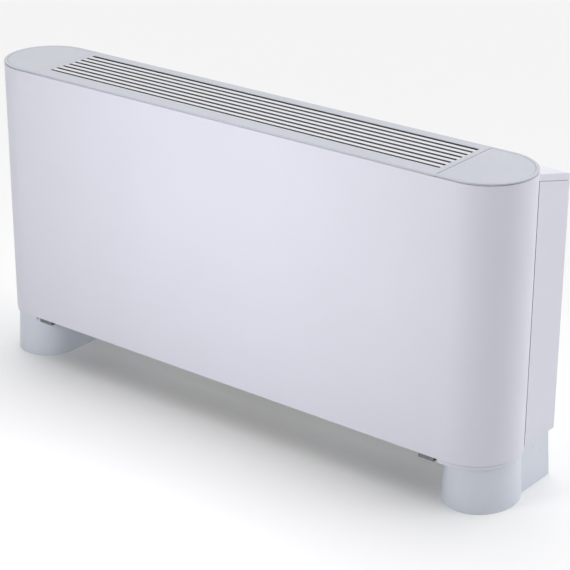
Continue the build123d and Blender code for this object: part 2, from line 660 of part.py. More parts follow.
def scroll_outline(inset, top):
    """Spiral section of a fan housing, its wall moved in by inset, its outlet up to top."""
    points = []
    for i in range(SCROLL_POINTS):
        share = i / (SCROLL_POINTS - 1)
        radius = SCROLL_R - share * (SCROLL_R - TONGUE_R) - inset
        angle = math.radians(-share * SCROLL_SWEEP)
        points.append((FAN_Y + radius * math.cos(angle), FAN_Z + radius * math.sin(angle)))
    with BuildSketch() as outline:
        with BuildLine():
            Spline(*points)
            Polyline(
                points[-1],
                (OUTLET_FRONT_Y + inset, top),
                (OUTLET_BACK_Y - inset, top),
                points[0],
            )
        make_face()
    return outline.sketch


with BuildPart() as fan_housing_right:
    start = HOUSING_X - HOUSING_WIDTH / 2
    with BuildSketch(Plane.YZ.offset(start)):
        add(scroll_outline(0.0, DECK_Z))
    extrude(amount=HOUSING_WIDTH)
    with BuildSketch(Plane.YZ.offset(start + HOUSING_WALL)):
        add(scroll_outline(HOUSING_WALL, DECK_Z + 1.0))
    extrude(amount=HOUSING_WIDTH - 2 * HOUSING_WALL, mode=Mode.SUBTRACT)
    with Locations((HOUSING_X, FAN_Y, FAN_Z)):
        Cylinder(INLET_R, 2 * HOUSING_WIDTH, rotation=(0, 90, 0), mode=Mode.SUBTRACT)
save("fan_housing_right", fan_housing_right)
save("fan_housing_left", mirrored(fan_housing_right))

with BuildPart() as fan_deck:
    deck_mid_y = (DECK_FRONT_Y + DECK_BACK_Y) / 2
    with Locations((0, deck_mid_y, DECK_Z + PLATE / 2)):
        Box(2 * DECK_X, DECK_BACK_Y - DECK_FRONT_Y, PLATE)
    for lip_y in (DECK_FRONT_Y + PLATE / 2, DECK_BACK_Y - PLATE / 2):
        with Locations((0, lip_y, DECK_Z - DECK_LIP / 2)):
            Box(2 * DECK_X, PLATE, DECK_LIP)
    outlet_depth = OUTLET_BACK_Y - OUTLET_FRONT_Y - 2 * HOUSING_WALL
    with Locations([(x, (OUTLET_FRONT_Y + OUTLET_BACK_Y) / 2, DECK_Z) for x in FAN_XS]):
        Box(HOUSING_WIDTH - 2 * HOUSING_WALL, outlet_depth, 4 * PLATE, mode=Mode.SUBTRACT)
save("fan_deck", fan_deck)

BLADE_MID_R = 55.6
BLADE_DEPTH = 8.0
BLADE = 1.2
BLADE_ANGLE = 32.0
RING_R = 51.5
END_RING = 2.0
HUB_R = 12.0
HUB_LENGTH = 20.0

with BuildPart() as impeller_right:
    with BuildSketch(Plane.YZ.offset(HOUSING_X - IMPELLER_WIDTH / 2)):
        with Locations((FAN_Y, FAN_Z)):
            with PolarLocations(BLADE_MID_R, BLADE_COUNT):
                Rectangle(BLADE_DEPTH, BLADE, rotation=BLADE_ANGLE)
    extrude(amount=IMPELLER_WIDTH)
    for ring_x in (-IMPELLER_WIDTH / 2, IMPELLER_WIDTH / 2 - END_RING):
        with BuildSketch(Plane.YZ.offset(HOUSING_X + ring_x)):
            with Locations((FAN_Y, FAN_Z)):
                Circle(IMPELLER_R)
                Circle(RING_R, mode=Mode.SUBTRACT)
        extrude(amount=END_RING)
    with Locations((HOUSING_X, FAN_Y, FAN_Z)):
        Cylinder(IMPELLER_R, END_RING, rotation=(0, 90, 0))
        Cylinder(HUB_R, HUB_LENGTH, rotation=(0, 90, 0))
        Cylinder(SHAFT_R, 2 * HUB_LENGTH, rotation=(0, 90, 0), mode=Mode.SUBTRACT)
save("impeller_right", impeller_right)
save("impeller_left", mirrored(impeller_right))

SHAFT_HALF_X = 232.0

with BuildPart() as fan_shaft:
    with Locations((0, FAN_Y, FAN_Z)):
        Cylinder(SHAFT_R, 2 * SHAFT_HALF_X, rotation=(0, 90, 0))
    chamfer(fan_shaft.edges().filter_by(GeomType.CIRCLE), length=0.8)
save("fan_shaft", fan_shaft)

# ---------------------------------------------------------------- motor
MOTOR_R = 50.0
MOTOR_HALF_X = 42.0
MOTOR_WALL = 3.0
BOSS_R = 20.0
BOSS_HALF_X = 54.0
BEARING_R = 13.0
BEARING_X = 46.0
BEARING_WIDTH = 8.0
CORE_HALF_X = 25.0
ROTOR_R = 30.0
STATOR_R = 31.0
SLOT_RING_R = 38.0
SLOT_COUNT = 12

with BuildPart() as motor_housing:
    with Locations((0, FAN_Y, FAN_Z)):
        Cylinder(MOTOR_R, 2 * MOTOR_HALF_X, rotation=(0, 90, 0))
    fillet(motor_housing.edges().filter_by(GeomType.CIRCLE), radius=4.0)
    with Locations((0, FAN_Y, FAN_Z)):
        Cylinder(BOSS_R, 2 * BOSS_HALF_X, rotation=(0, 90, 0))
        Cylinder(
            MOTOR_R - MOTOR_WALL,
            2 * (MOTOR_HALF_X - MOTOR_WALL),
            rotation=(0, 90, 0),
            mode=Mode.SUBTRACT,
        )
        Cylinder(
            BEARING_R, 2 * BEARING_X + BEARING_WIDTH, rotation=(0, 90, 0), mode=Mode.SUBTRACT
        )
        Cylinder(SHAFT_R + 2.0, 4 * BOSS_HALF_X, rotation=(0, 90, 0), mode=Mode.SUBTRACT)
save("motor_housing", motor_housing)

with BuildPart() as motor_stator:
    with BuildSketch(Plane.YZ.offset(-CORE_HALF_X)):
        with Locations((FAN_Y, FAN_Z)):
            Circle(MOTOR_R - MOTOR_WALL)
            Circle(STATOR_R, mode=Mode.SUBTRACT)
            with PolarLocations(SLOT_RING_R, SLOT_COUNT):
                SlotOverall(10.0, 5.0, mode=Mode.SUBTRACT)
    extrude(amount=2 * CORE_HALF_X)
save("motor_stator", motor_stator)

with BuildPart() as stator_windings:
    with BuildSketch(Plane.YZ.offset(-CORE_HALF_X)):
        with Locations((FAN_Y, FAN_Z)):
            with PolarLocations(SLOT_RING_R, SLOT_COUNT):
                SlotOverall(10.0, 5.0)
    extrude(amount=2 * CORE_HALF_X)
    for ring_x in (-CORE_HALF_X - 9.0, CORE_HALF_X):
        with BuildSketch(Plane.YZ.offset(ring_x)):
            with Locations((FAN_Y, FAN_Z)):
                Circle(SLOT_RING_R + 5.0)
                Circle(SLOT_RING_R - 5.0, mode=Mode.SUBTRACT)
        extrude(amount=9.0)
save("stator_windings", stator_windings)

with BuildPart() as motor_rotor:
    with Locations((0, FAN_Y, FAN_Z)):
        Cylinder(ROTOR_R, 2 * CORE_HALF_X, rotation=(0, 90, 0))
        Cylinder(ROTOR_R - 4.0, 2 * CORE_HALF_X + 8.0, rotation=(0, 90, 0))
        Cylinder(ROTOR_R - 9.0, 4 * CORE_HALF_X, rotation=(0, 90, 0), mode=Mode.SUBTRACT)
        Cylinder(ROTOR_R - 9.0, 2 * CORE_HALF_X - 10.0, rotation=(0, 90, 0))
        Cylinder(SHAFT_R, 4 * CORE_HALF_X, rotation=(0, 90, 0), mode=Mode.SUBTRACT)
save("motor_rotor", motor_rotor)

with BuildPart() as shaft_bearings:
    with Locations([(x, FAN_Y, FAN_Z) for x in (-BEARING_X, BEARING_X)]):
        Cylinder(BEARING_R, BEARING_WIDTH, rotation=(0, 90, 0))
        Cylinder(SHAFT_R + RUNNING, 2 * BEARING_WIDTH, rotation=(0, 90, 0), mode=Mode.SUBTRACT)
    # Shallow groove between the inner and the outer ring, on each face.
    for bearing_x in (-BEARING_X, BEARING_X):
        for face_x in (bearing_x - BEARING_WIDTH / 2, bearing_x + BEARING_WIDTH / 2):
            with BuildSketch(Plane.YZ.offset(face_x)):
                with Locations((FAN_Y, FAN_Z)):
                    Circle(BEARING_R - 2.0)
                    Circle(SHAFT_R + 2.5, mode=Mode.SUBTRACT)
            extrude(amount=0.6, both=True, mode=Mode.SUBTRACT)
save("shaft_bearings", shaft_bearings)

RUBBER_R = 26.0
RUBBER_WIDTH = 8.0
RUBBER_X = 49.5
BRACKET = 3.0
BRACKET_R = 31.0
BRACKET_WIDTH = 30.0

with BuildPart() as motor_rubber_rings:
    with Locations([(x, FAN_Y, FAN_Z) for x in (-RUBBER_X, RUBBER_X)]):
        Cylinder(RUBBER_R, RUBBER_WIDTH, rotation=(0, 90, 0))
        Cylinder(BOSS_R, 2 * RUBBER_WIDTH, rotation=(0, 90, 0), mode=Mode.SUBTRACT)
save("motor_rubber_rings", motor_rubber_rings)

with BuildPart() as motor_brackets:
    for side in (-1, 1):
        with BuildSketch(Plane.YZ.offset(side * RUBBER_X - BRACKET / 2)):
            with Locations((FAN_Y, FAN_Z)):
                Circle(BRACKET_R)
            with Locations((FAN_Y, (FAN_Z + DECK_Z) / 2)):
                Rectangle(BRACKET_WIDTH, DECK_Z - FAN_Z)
            with Locations((FAN_Y, FAN_Z)):
                Circle(RUBBER_R, mode=Mode.SUBTRACT)
        extrude(amount=BRACKET)
        with Locations((side * (RUBBER_X + 8.0), FAN_Y, DECK_Z - BRACKET / 2)):
            Box(16.0, BRACKET_WIDTH, BRACKET)
save("motor_brackets", motor_brackets)

# ---------------------------------------------------------------- water coil
# The coil's own plane: X along the tubes, Y up the slope, Z towards the front.
TILT = math.radians(COIL_TILT)
COIL_PLANE = Plane(
    origin=(0, COIL_Y, COIL_Z), x_dir=(1, 0, 0), z_dir=(0, -math.cos(TILT), math.sin(TILT))
)
ROWS = (TUBE_PITCH / 2, -TUBE_PITCH / 2)
TUBE_ALONG = [(i - (TUBES_IN_ROW - 1) / 2) * TUBE_PITCH for i in range(TUBES_IN_ROW)]
TUBE_PLACES = [(0, along, row) for row in ROWS for along in TUBE_ALONG]
PASSES = 3
BEND_X = CHASSIS_X + 2.0
HEADER_X = 452.0
HEADER_R = 11.0
HEADER_BORE_R = 9.5
STUB_X = HEADER_X - HEADER_BORE_R + 1.5


def coil_point(x, along, row):
    """A point of the coil's own plane, in the heater's frame."""
    y = COIL_Y + along * math.sin(TILT) - row * math.cos(TILT)
    z = COIL_Z + along * math.cos(TILT) + row * math.sin(TILT)
    return (x, y, z)


# Each modelled fin stands for a packet of the real, much thinner fins.
FIN_COUNT = 40
FIN = 1.2
FIN_PITCH = (2 * COIL_HALF_X - FIN) / (FIN_COUNT - 1)

with BuildPart(COIL_PLANE) as coil_fins:
    with GridLocations(FIN_PITCH, 0, FIN_COUNT, 1):
        Box(FIN, COIL_HEIGHT, COIL_THICKNESS)
    with Locations(TUBE_PLACES):
        Cylinder(TUBE_R, 3 * COIL_HALF_X, rotation=(0, 90, 0), mode=Mode.SUBTRACT)
save("coil_fins", coil_fins)

with BuildPart(COIL_PLANE) as coil_end_plates:
    with Locations([(s * (COIL_HALF_X + COIL_PLATE / 2), 0, 0) for s in (-1, 1)]):
        Box(COIL_PLATE, COIL_HEIGHT + 10.0, COIL_THICKNESS + 10.0)
    with Locations(TUBE_PLACES):
        Cylinder(TUBE_R, 3 * COIL_HALF_X, rotation=(0, 90, 0), mode=Mode.SUBTRACT)
save("coil_end_plates", coil_end_plates)


def straight_tubes(radius, mode=Mode.ADD):
    """All straight tubes; those that meet a header are longer."""
    for row in ROWS:
        for i, along in enumerate(TUBE_ALONG):
            end_x = STUB_X if i % PASSES == 0 else BEND_X
            with Locations(((end_x - BEND_X) / 2, along, row)):
                Cylinder(radius, end_x + BEND_X, rotation=(0, 90, 0), mode=mode)


def return_bends(radius, mode=Mode.ADD):
    """Bends that join each tube to the next of its circuit, at both ends."""
    for i in range(0, TUBES_IN_ROW, PASSES):
        for row in ROWS:
            for first, end_x, turn in ((i, -BEND_X, 90), (i + 1, BEND_X, -90)):
                middle = (TUBE_ALONG[first] + TUBE_ALONG[first + 1]) / 2
                with Locations((end_x, middle, row)):
                    Torus(
                        TUBE_PITCH / 2,
                        radius,
                        major_angle=180,
                        rotation=(0, 0, turn),
                        align=None,
                        mode=mode,
                    )
        with Locations(Location((-BEND_X, TUBE_ALONG[i + 2], 0), (90, 0, 0))):
            Torus(
                TUBE_PITCH / 2,
                radius,
                major_angle=180,
                rotation=(0, 0, 90),
                align=None,
                mode=mode,
            )


with BuildPart(COIL_PLANE) as coil_tubes:
    straight_tubes(TUBE_R)
    return_bends(TUBE_R)
    straight_tubes(TUBE_BORE_R, Mode.SUBTRACT)
    return_bends(TUBE_BORE_R, Mode.SUBTRACT)
save("coil_tubes", coil_tubes)


# ---------------------------------------------------------------- headers and pipes
HEADER_LOW = -112.0
HEADER_HIGH = 62.0
HEADER_END = 3.0
PIPE_R = 8.0
PIPE_BORE_R = 6.8
PIPE_BEND_R = 16.0
SUPPLY_ALONG = -60.0
RETURN_ALONG = 10.0
SOCKET_Z = 300.0
SOCKET_LENGTH = 22.0
THREAD_DEPTH = 14.0
THREAD_R = 9.3
HEX_R = 13.5
VENT_ALONG = 40.0
VENT_R = 5.5
VENT_END_X = 474.0
VENT_PIN_R = 2.0
VENT_BORE = 9.0


def bent_route(points, radius):
    """A route of straight runs with rounded corners."""
    with BuildLine() as route:
        FilletPolyline(*points, radius=radius)
    return route.line


def header_route(row, along, overlap):
    """From inside a header out along X, then straight down into its socket."""
    x, y, z = coil_point(HEADER_X, along, row)
    points = [(x, y, z), (PIPE_X, y, z), (PIPE_X, y, SOCKET_Z + THREAD_DEPTH - overlap)]
    return bent_route(points, PIPE_BEND_R)


def header_node(row, along, has_vent):
    """One header with its outlet pipe and threaded socket."""
    start = coil_point(HEADER_X, along, row)
    outside = header_route(row, along, 0.0)
    inside = header_route(row, along, 1.0)
    middle = (HEADER_LOW + HEADER_HIGH) / 2
    length = HEADER_HIGH - HEADER_LOW
    stubs = [coil_point(HEADER_X, TUBE_ALONG[i], row) for i in range(0, TUBES_IN_ROW, PASSES)]
    vent = coil_point(HEADER_X, VENT_ALONG, row)
    with BuildPart() as header:
        with Locations(coil_point(HEADER_X, middle, row)):
            Cylinder(HEADER_R, length, rotation=(-COIL_TILT, 0, 0))
        with BuildSketch(Plane(origin=start, z_dir=(1, 0, 0))):
            Circle(PIPE_R)
        sweep(path=outside)
        with BuildSketch(Plane.XY.offset(SOCKET_Z)):
            with Locations((PIPE_X, start[1])):
                RegularPolygon(radius=HEX_R, side_count=6)
        extrude(amount=SOCKET_LENGTH)
        if has_vent:
            with Locations(((HEADER_X + VENT_END_X) / 2, vent[1], vent[2])):
                Cylinder(VENT_R, VENT_END_X - HEADER_X, rotation=(0, 90, 0))
        with Locations(coil_point(HEADER_X, middle, row)):
            Cylinder(
                HEADER_BORE_R,
                length - 2 * HEADER_END,
                rotation=(-COIL_TILT, 0, 0),
                mode=Mode.SUBTRACT,
            )
        with BuildSketch(Plane(origin=start, z_dir=(1, 0, 0))):
            Circle(PIPE_BORE_R)
        sweep(path=inside, mode=Mode.SUBTRACT)
        with Locations((PIPE_X, start[1], SOCKET_Z + THREAD_DEPTH / 2)):
            Cylinder(THREAD_R, THREAD_DEPTH, mode=Mode.SUBTRACT)
        for stub in stubs:
            with Locations((stub[0] - HEADER_R, stub[1], stub[2])):
                Cylinder(TUBE_R, 2 * HEADER_R, rotation=(0, 90, 0), mode=Mode.SUBTRACT)
        if has_vent:
            with Locations((VENT_END_X - VENT_BORE / 2, vent[1], vent[2])):
                Cylinder(
                    VENT_PIN_R + RUNNING, VENT_BORE, rotation=(0, 90, 0), mode=Mode.SUBTRACT
                )
    return header


save("supply_header", header_node(ROWS[0], SUPPLY_ALONG, False))
save("return_header", header_node(ROWS[1], RETURN_ALONG, True))

VENT_HEAD = 6.0
VENT_HEAD_R = 4.5
VENT_GAP = 0.4
VENT_POINT = coil_point(VENT_END_X, VENT_ALONG, ROWS[1])

with BuildPart() as air_vent_screw:
    with Locations((VENT_END_X + VENT_GAP + VENT_HEAD / 2, VENT_POINT[1], VENT_POINT[2])):
        Cylinder(VENT_HEAD_R, VENT_HEAD, rotation=(0, 90, 0))
    with Locations((VENT_END_X + VENT_GAP - 4.0, VENT_POINT[1], VENT_POINT[2])):
        Cylinder(VENT_PIN_R, 8.0, rotation=(0, 90, 0))
    with Locations((VENT_END_X + VENT_GAP + VENT_HEAD, VENT_POINT[1], VENT_POINT[2])):
        Box(3.0, 1.2, 2 * VENT_HEAD_R, mode=Mode.SUBTRACT)
save("air_vent_screw", air_vent_screw)

PAN_HALF_X = 411.0
PAN_FRONT_Y = -88.0
PAN_BACK_Y = -22.0
PAN_TOP = 284.0
PAN_WALL = 1.5
SPOUT_X = 478.0
SPOUT_BOTTOM = 245.0
SPOUT_BORE_R = 6.0
SPOUT_BEND_R = 14.0

with BuildPart() as drain_pan:
    pan_depth = PAN_BACK_Y - PAN_FRONT_Y
    pan_height = PAN_TOP - DECK_Z - PLATE
    with Locations((0, (PAN_FRONT_Y + PAN_BACK_Y) / 2, PAN_TOP - pan_height / 2)):
        Box(2 * PAN_HALF_X, pan_depth, pan_height)
    offset(amount=-PAN_WALL, openings=drain_pan.faces().sort_by(Axis.Z)[-1])
    with Locations((PAN_HALF_X, SPOUT_Y, SPOUT_Z)):
        Cylinder(SPOUT_BORE_R, 4 * PAN_WALL, rotation=(0, 90, 0), mode=Mode.SUBTRACT)
save("drain_pan", drain_pan)

SPOUT_START = (PAN_HALF_X, SPOUT_Y, SPOUT_Z)
SPOUT_CORNER = (SPOUT_X, SPOUT_Y, SPOUT_Z)
SPOUT_ROUTE = bent_route([SPOUT_START, SPOUT_CORNER, (SPOUT_X, SPOUT_Y, SPOUT_BOTTOM)], SPOUT_BEND_R)

with BuildPart() as drain_spout:
    with BuildSketch(Plane(origin=SPOUT_START, z_dir=(1, 0, 0))):
        Circle(SPOUT_R)
        Circle(SPOUT_BORE_R, mode=Mode.SUBTRACT)
    sweep(path=SPOUT_ROUTE)
save("drain_spout", drain_spout)

# ---------------------------------------------------------------- filter
RAIL_WEB_X = 402.8
RAIL_LIP_X = 396.0
RAIL_FLANGE_X = 415.0
RAIL_FRONT_Y = -86.0
RAIL_BACK_Y = 100.0
RAIL_LIP_TOP = 81.0
RAIL_LENGTH = RAIL_BACK_Y - RAIL_FRONT_Y
RAIL_MID_Y = (RAIL_BACK_Y + RAIL_FRONT_Y) / 2

with BuildPart() as filter_rails:
    for side in (-1, 1):
        with Locations((side * (RAIL_LIP_X + RAIL_FLANGE_X) / 2, RAIL_MID_Y, COVER_BOTTOM - PLATE / 2)):
            Box(RAIL_FLANGE_X - RAIL_LIP_X, RAIL_LENGTH, PLATE)
        web_bottom = RAIL_LIP_TOP - PLATE
        with Locations((side * (RAIL_WEB_X + PLATE / 2), RAIL_MID_Y, (COVER_BOTTOM + web_bottom) / 2)):
            Box(PLATE, RAIL_LENGTH, COVER_BOTTOM - web_bottom)
        with Locations((side * (RAIL_LIP_X + RAIL_WEB_X) / 2, RAIL_MID_Y, RAIL_LIP_TOP - PLATE / 2)):
            Box(RAIL_WEB_X - RAIL_LIP_X, RAIL_LENGTH, PLATE)
        # Packing piece between the rail and the front rail above it.
        with Locations((side * 410.0, RAIL_FRONT_Y + 1.0, COVER_BOTTOM + SHEET / 2)):
            Box(10.0, 10.0, SHEET)
        with Locations((side * 410.0, RAIL_FRONT_Y, COVER_BOTTOM - PLATE / 2)):
            Box(10.0, 8.0, PLATE)
save("filter_rails", filter_rails)

FILTER_FRONT_Y = -90.0
FILTER_BACK_Y = 88.0
FILTER_MID_Y = (FILTER_FRONT_Y + FILTER_BACK_Y) / 2
FILTER_DEPTH = FILTER_BACK_Y - FILTER_FRONT_Y
FILTER_BORDER = 10.0
FILTER_MID_Z = FILTER_Z + FILTER_THICKNESS / 2
FILTER_BAR = 4.0
FILTER_CELLS = 6
NET = 0.8
NET_MARGIN = 3.0
TAB_X = 120.0

with BuildPart() as filter_frame:
    with BuildSketch(Plane.XY.offset(FILTER_Z)):
        with Locations((0, FILTER_MID_Y)):
            Rectangle(2 * FILTER_X, FILTER_DEPTH)
            Rectangle(
                2 * (FILTER_X - FILTER_BORDER), FILTER_DEPTH - 2 * FILTER_BORDER, mode=Mode.SUBTRACT
            )
            Rectangle(2 * FILTER_X - FILTER_BORDER, FILTER_BAR)
            with GridLocations(2 * (FILTER_X - FILTER_BORDER) / FILTER_CELLS, 0, FILTER_CELLS - 1, 1):
                Rectangle(FILTER_BAR, FILTER_DEPTH - FILTER_BORDER)
    extrude(amount=FILTER_THICKNESS)
    with Locations([(x, FILTER_FRONT_Y - 2.5, FILTER_MID_Z) for x in (-TAB_X, TAB_X)]):
        Box(40.0, 5.0, FILTER_THICKNESS - 1.0)
    with Locations((0, FILTER_MID_Y, FILTER_MID_Z)):
        Box(
            2 * (FILTER_X - NET_MARGIN),
            FILTER_DEPTH - 2 * NET_MARGIN,
            NET,
            mode=Mode.SUBTRACT,
        )
save("filter_frame", filter_frame)

with BuildPart() as filter_net:
    with Locations((0, FILTER_MID_Y, FILTER_MID_Z)):
        Box(2 * (FILTER_X - NET_MARGIN), FILTER_DEPTH - 2 * NET_MARGIN, NET)
save("filter_net", filter_net)

# Turn latch: a pressed strap with an upturned lip, and a tongue behind the lip that carries
# the filter's front corner.
LATCH_BOTTOM = 79.4
LATCH_SHEET = 1.5
LATCH_INNER_X = 395.0
LATCH_LIP_X = 414.0
LATCH_TONGUE = 8.0
LATCH_OUTER_X = 444.0
LATCH_BACK_Y = -89.5
LATCH_FRONT_Y = -110.0
LATCH_LIP_TOP = 87.4
LATCH_BOSS_R = 5.0
LATCH_BOSS_TOP = COVER_BOTTOM - 0.4
SPACER_R = 2.4

with BuildPart() as latch_right:
    strap_front = LATCH_FRONT_Y + LATCH_SHEET
    with BuildSketch(Plane.XY.offset(LATCH_BOTTOM)):
        with Locations(((LATCH_LIP_X + LATCH_OUTER_X) / 2, (strap_front + LATCH_BACK_Y) / 2)):
            RectangleRounded(LATCH_OUTER_X - LATCH_LIP_X, LATCH_BACK_Y - strap_front, 2.0)
        with Locations(((LATCH_LIP_X + LATCH_OUTER_X) / 2, strap_front + 1.0)):
            Rectangle(LATCH_OUTER_X - LATCH_LIP_X, 2.0)
        with Locations(((LATCH_INNER_X + LATCH_X) / 2, LATCH_BACK_Y - LATCH_TONGUE / 2)):
            RectangleRounded(LATCH_X - LATCH_INNER_X, LATCH_TONGUE, 2.0)
    extrude(amount=LATCH_SHEET)
    with Locations(
        (
            (LATCH_LIP_X + LATCH_OUTER_X) / 2,
            LATCH_FRONT_Y + LATCH_SHEET / 2,
            (LATCH_BOTTOM + LATCH_LIP_TOP) / 2,
        )
    ):
        Box(LATCH_OUTER_X - LATCH_LIP_X, LATCH_SHEET, LATCH_LIP_TOP - LATCH_BOTTOM)
    with Locations((LATCH_X, LATCH_Y, (LATCH_BOTTOM + LATCH_BOSS_TOP) / 2)):
        Cylinder(LATCH_BOSS_R, LATCH_BOSS_TOP - LATCH_BOTTOM)
    with Locations((LATCH_X, LATCH_Y, (LATCH_BOSS_TOP + RAIL_Z - 0.1) / 2)):
        Cylinder(SPACER_R, RAIL_Z - 0.1 - LATCH_BOSS_TOP)
    with Locations((LATCH_X, LATCH_Y, COVER_BOTTOM)):
        Cylinder(LATCH_SCREW_R + RUNNING, 40.0, mode=Mode.SUBTRACT)
save("latch_right", latch_right)
save("latch_left", mirrored(latch_right))

LATCH_SCREW_TOP = RAIL_Z + PLATE + 1.0
LATCH_HEAD = 1.6

with BuildPart() as latch_screws:
    low = LATCH_BOTTOM - 0.1
    with Locations([(x, LATCH_Y, (low + LATCH_SCREW_TOP) / 2) for x in LATCH_XS]):
        Cylinder(LATCH_SCREW_R, LATCH_SCREW_TOP - low)
    with Locations([(x, LATCH_Y, low - LATCH_HEAD / 2) for x in LATCH_XS]):
        Cylinder(SCREW_HEAD_R, LATCH_HEAD)
save("latch_screws", latch_screws)

# ---------------------------------------------------------------- controls, in the left end
CONTROL_PLATE = 2.2
CONTROL_TOP = CAP_BOTTOM - 0.3
CONTROL_BOTTOM = CONTROL_TOP - CONTROL_PLATE
CONTROL_R = 75.0
CONTROL_INNER_X = 434.0
KNOB_X = -495.0
KNOB_YS = (CABINET_Y - 24.0, CABINET_Y + 24.0)
KNOB_R = 13.0
KNOB_BOTTOM = CONTROL_TOP + 0.4
KNOB_HEIGHT = 14.0
SPINDLE_R = 3.0
ROCKER_X = -458.0
ROCKER_HALF = 9.0
ROCKER_WIDTH = 11.0
ROCKER_PIVOT_Z = 532.0
ROCKER_PIN_R = 1.2
ROCKER_SLOT_HALF = 11.0
EAR = 2.0
EAR_GAP = 0.4
EAR_Y = ROCKER_WIDTH / 2 + EAR_GAP + EAR / 2

with BuildPart() as control_plate:
    with BuildSketch(Plane.XY.offset(CONTROL_BOTTOM)):
        add(mirror(end_plan(CONTROL_R, CONTROL_INNER_X), about=Plane.YZ, mode=Mode.PRIVATE))
    extrude(amount=CONTROL_PLATE)
    with Locations([(ROCKER_X, CABINET_Y + s * EAR_Y, CONTROL_BOTTOM - 5.0) for s in (-1, 1)]):
        Box(8.0, EAR, 10.0)
    with Locations((ROCKER_X, CABINET_Y, CONTROL_BOTTOM)):
        Box(2 * ROCKER_SLOT_HALF, ROCKER_WIDTH + 2 * EAR_GAP, 4 * CONTROL_PLATE, mode=Mode.SUBTRACT)
    with Locations((ROCKER_X, CABINET_Y, ROCKER_PIVOT_Z)):
        Cylinder(ROCKER_PIN_R + RUNNING, 40.0, rotation=(90, 0, 0), mode=Mode.SUBTRACT)
    with Locations([(KNOB_X, y, CONTROL_BOTTOM) for y in KNOB_YS]):
        Cylinder(SPINDLE_R + RUNNING, 4 * CONTROL_PLATE, mode=Mode.SUBTRACT)
    with Locations([(-SOCKET_X, y, CONTROL_BOTTOM) for y in SOCKET_YS]):
        Cylinder(SMALL_SCREW_R, 4 * CONTROL_PLATE, mode=Mode.SUBTRACT)
save("control_plate", control_plate)

SPINDLE_BOTTOM = 529.0
GRIP_COUNT = 18


def knob_node(y):
    """A turning knob with a fluted edge, a raised pointer and its spindle."""
    with BuildPart() as knob:
        with BuildSketch(Plane.XY.offset(KNOB_BOTTOM)):
            with Locations((KNOB_X, y)):
                Circle(KNOB_R)
                with PolarLocations(KNOB_R + 0.6, GRIP_COUNT):
                    Circle(1.2, mode=Mode.SUBTRACT)
        extrude(amount=KNOB_HEIGHT)
        fillet(knob.faces().sort_by(Axis.Z)[-1].edges(), radius=0.5)
        with Locations((KNOB_X + KNOB_R / 2, y, KNOB_BOTTOM + KNOB_HEIGHT)):
            Box(KNOB_R - 3.0, 1.6, 1.0)
        with Locations((KNOB_X, y, (KNOB_BOTTOM + SPINDLE_BOTTOM) / 2)):
            Cylinder(SPINDLE_R, KNOB_BOTTOM - SPINDLE_BOTTOM)
    return knob


save("thermostat_knob", knob_node(KNOB_YS[0]))
save("speed_knob", knob_node(KNOB_YS[1]))

ROCKER_TOP = CONTROL_TOP + 5.0

with BuildPart() as mode_rocker:
    with BuildSketch(Plane.XZ.offset(-CABINET_Y - ROCKER_WIDTH / 2)):
        with BuildLine():
            ThreePointArc(
                (ROCKER_X - ROCKER_HALF, ROCKER_TOP),
                (ROCKER_X, ROCKER_TOP - 1.5),
                (ROCKER_X + ROCKER_HALF, ROCKER_TOP),
            )
            Polyline(
                (ROCKER_X + ROCKER_HALF, ROCKER_TOP),
                (ROCKER_X + ROCKER_HALF, CONTROL_BOTTOM),
                (ROCKER_X + 3.0, ROCKER_PIVOT_Z - 2.5),
                (ROCKER_X - 3.0, ROCKER_PIVOT_Z - 2.5),
                (ROCKER_X - ROCKER_HALF, CONTROL_BOTTOM),
                (ROCKER_X - ROCKER_HALF, ROCKER_TOP),
            )
        make_face()
    extrude(amount=ROCKER_WIDTH)
    with Locations((ROCKER_X, CABINET_Y, ROCKER_PIVOT_Z)):
        Cylinder(ROCKER_PIN_R, 2 * (EAR_Y + EAR / 2), rotation=(90, 0, 0))
save("mode_rocker", mode_rocker)

SWITCH_SIZE = 30.0
SWITCH_HEIGHT = 20.0

with BuildPart() as control_switches:
    for y in KNOB_YS:
        with Locations((KNOB_X, y, CONTROL_BOTTOM - SWITCH_HEIGHT / 2)):
            Box(SWITCH_SIZE, SWITCH_SIZE, SWITCH_HEIGHT)
        with Locations((KNOB_X, y, CONTROL_BOTTOM - 5.0)):
            Cylinder(SPINDLE_R + RUNNING, 10.0, mode=Mode.SUBTRACT)
save("control_switches", control_switches)

CONTROL_BOX_BOTTOM = 482.0
CONTROL_BOX_LOW_X = -531.0
CONTROL_BOX_HIGH_X = -444.0
CONTROL_BOX_DEPTH = 92.0
CONTROL_BOX_WALL = 2.0
LOOM_R = 3.5
LOOM_X = -490.0

with BuildPart() as control_box:
    box_height = CONTROL_BOTTOM - CONTROL_BOX_BOTTOM
    box_mid_x = (CONTROL_BOX_LOW_X + CONTROL_BOX_HIGH_X) / 2
    with Locations((box_mid_x, CABINET_Y, CONTROL_BOX_BOTTOM + box_height / 2)):
        Box(CONTROL_BOX_HIGH_X - CONTROL_BOX_LOW_X, CONTROL_BOX_DEPTH, box_height)
    offset(amount=-CONTROL_BOX_WALL, openings=control_box.faces().sort_by(Axis.Z)[-1])
    with Locations((LOOM_X, CABINET_Y, CONTROL_BOX_BOTTOM)):
        Cylinder(LOOM_R, 6 * CONTROL_BOX_WALL, mode=Mode.SUBTRACT)
save("control_box", control_box)

TERMINAL_X = -480.0
TERMINAL_WIDTH = 70.0
TERMINAL_DEPTH = 18.0
TERMINAL_Z = 270.0
TERMINAL_HEIGHT = 26.0
TERMINAL_COUNT = 6
TERMINAL_FLOOR = 12.0
WIRE_HOLE_R = 2.5
SCREW_WELL_R = 3.2

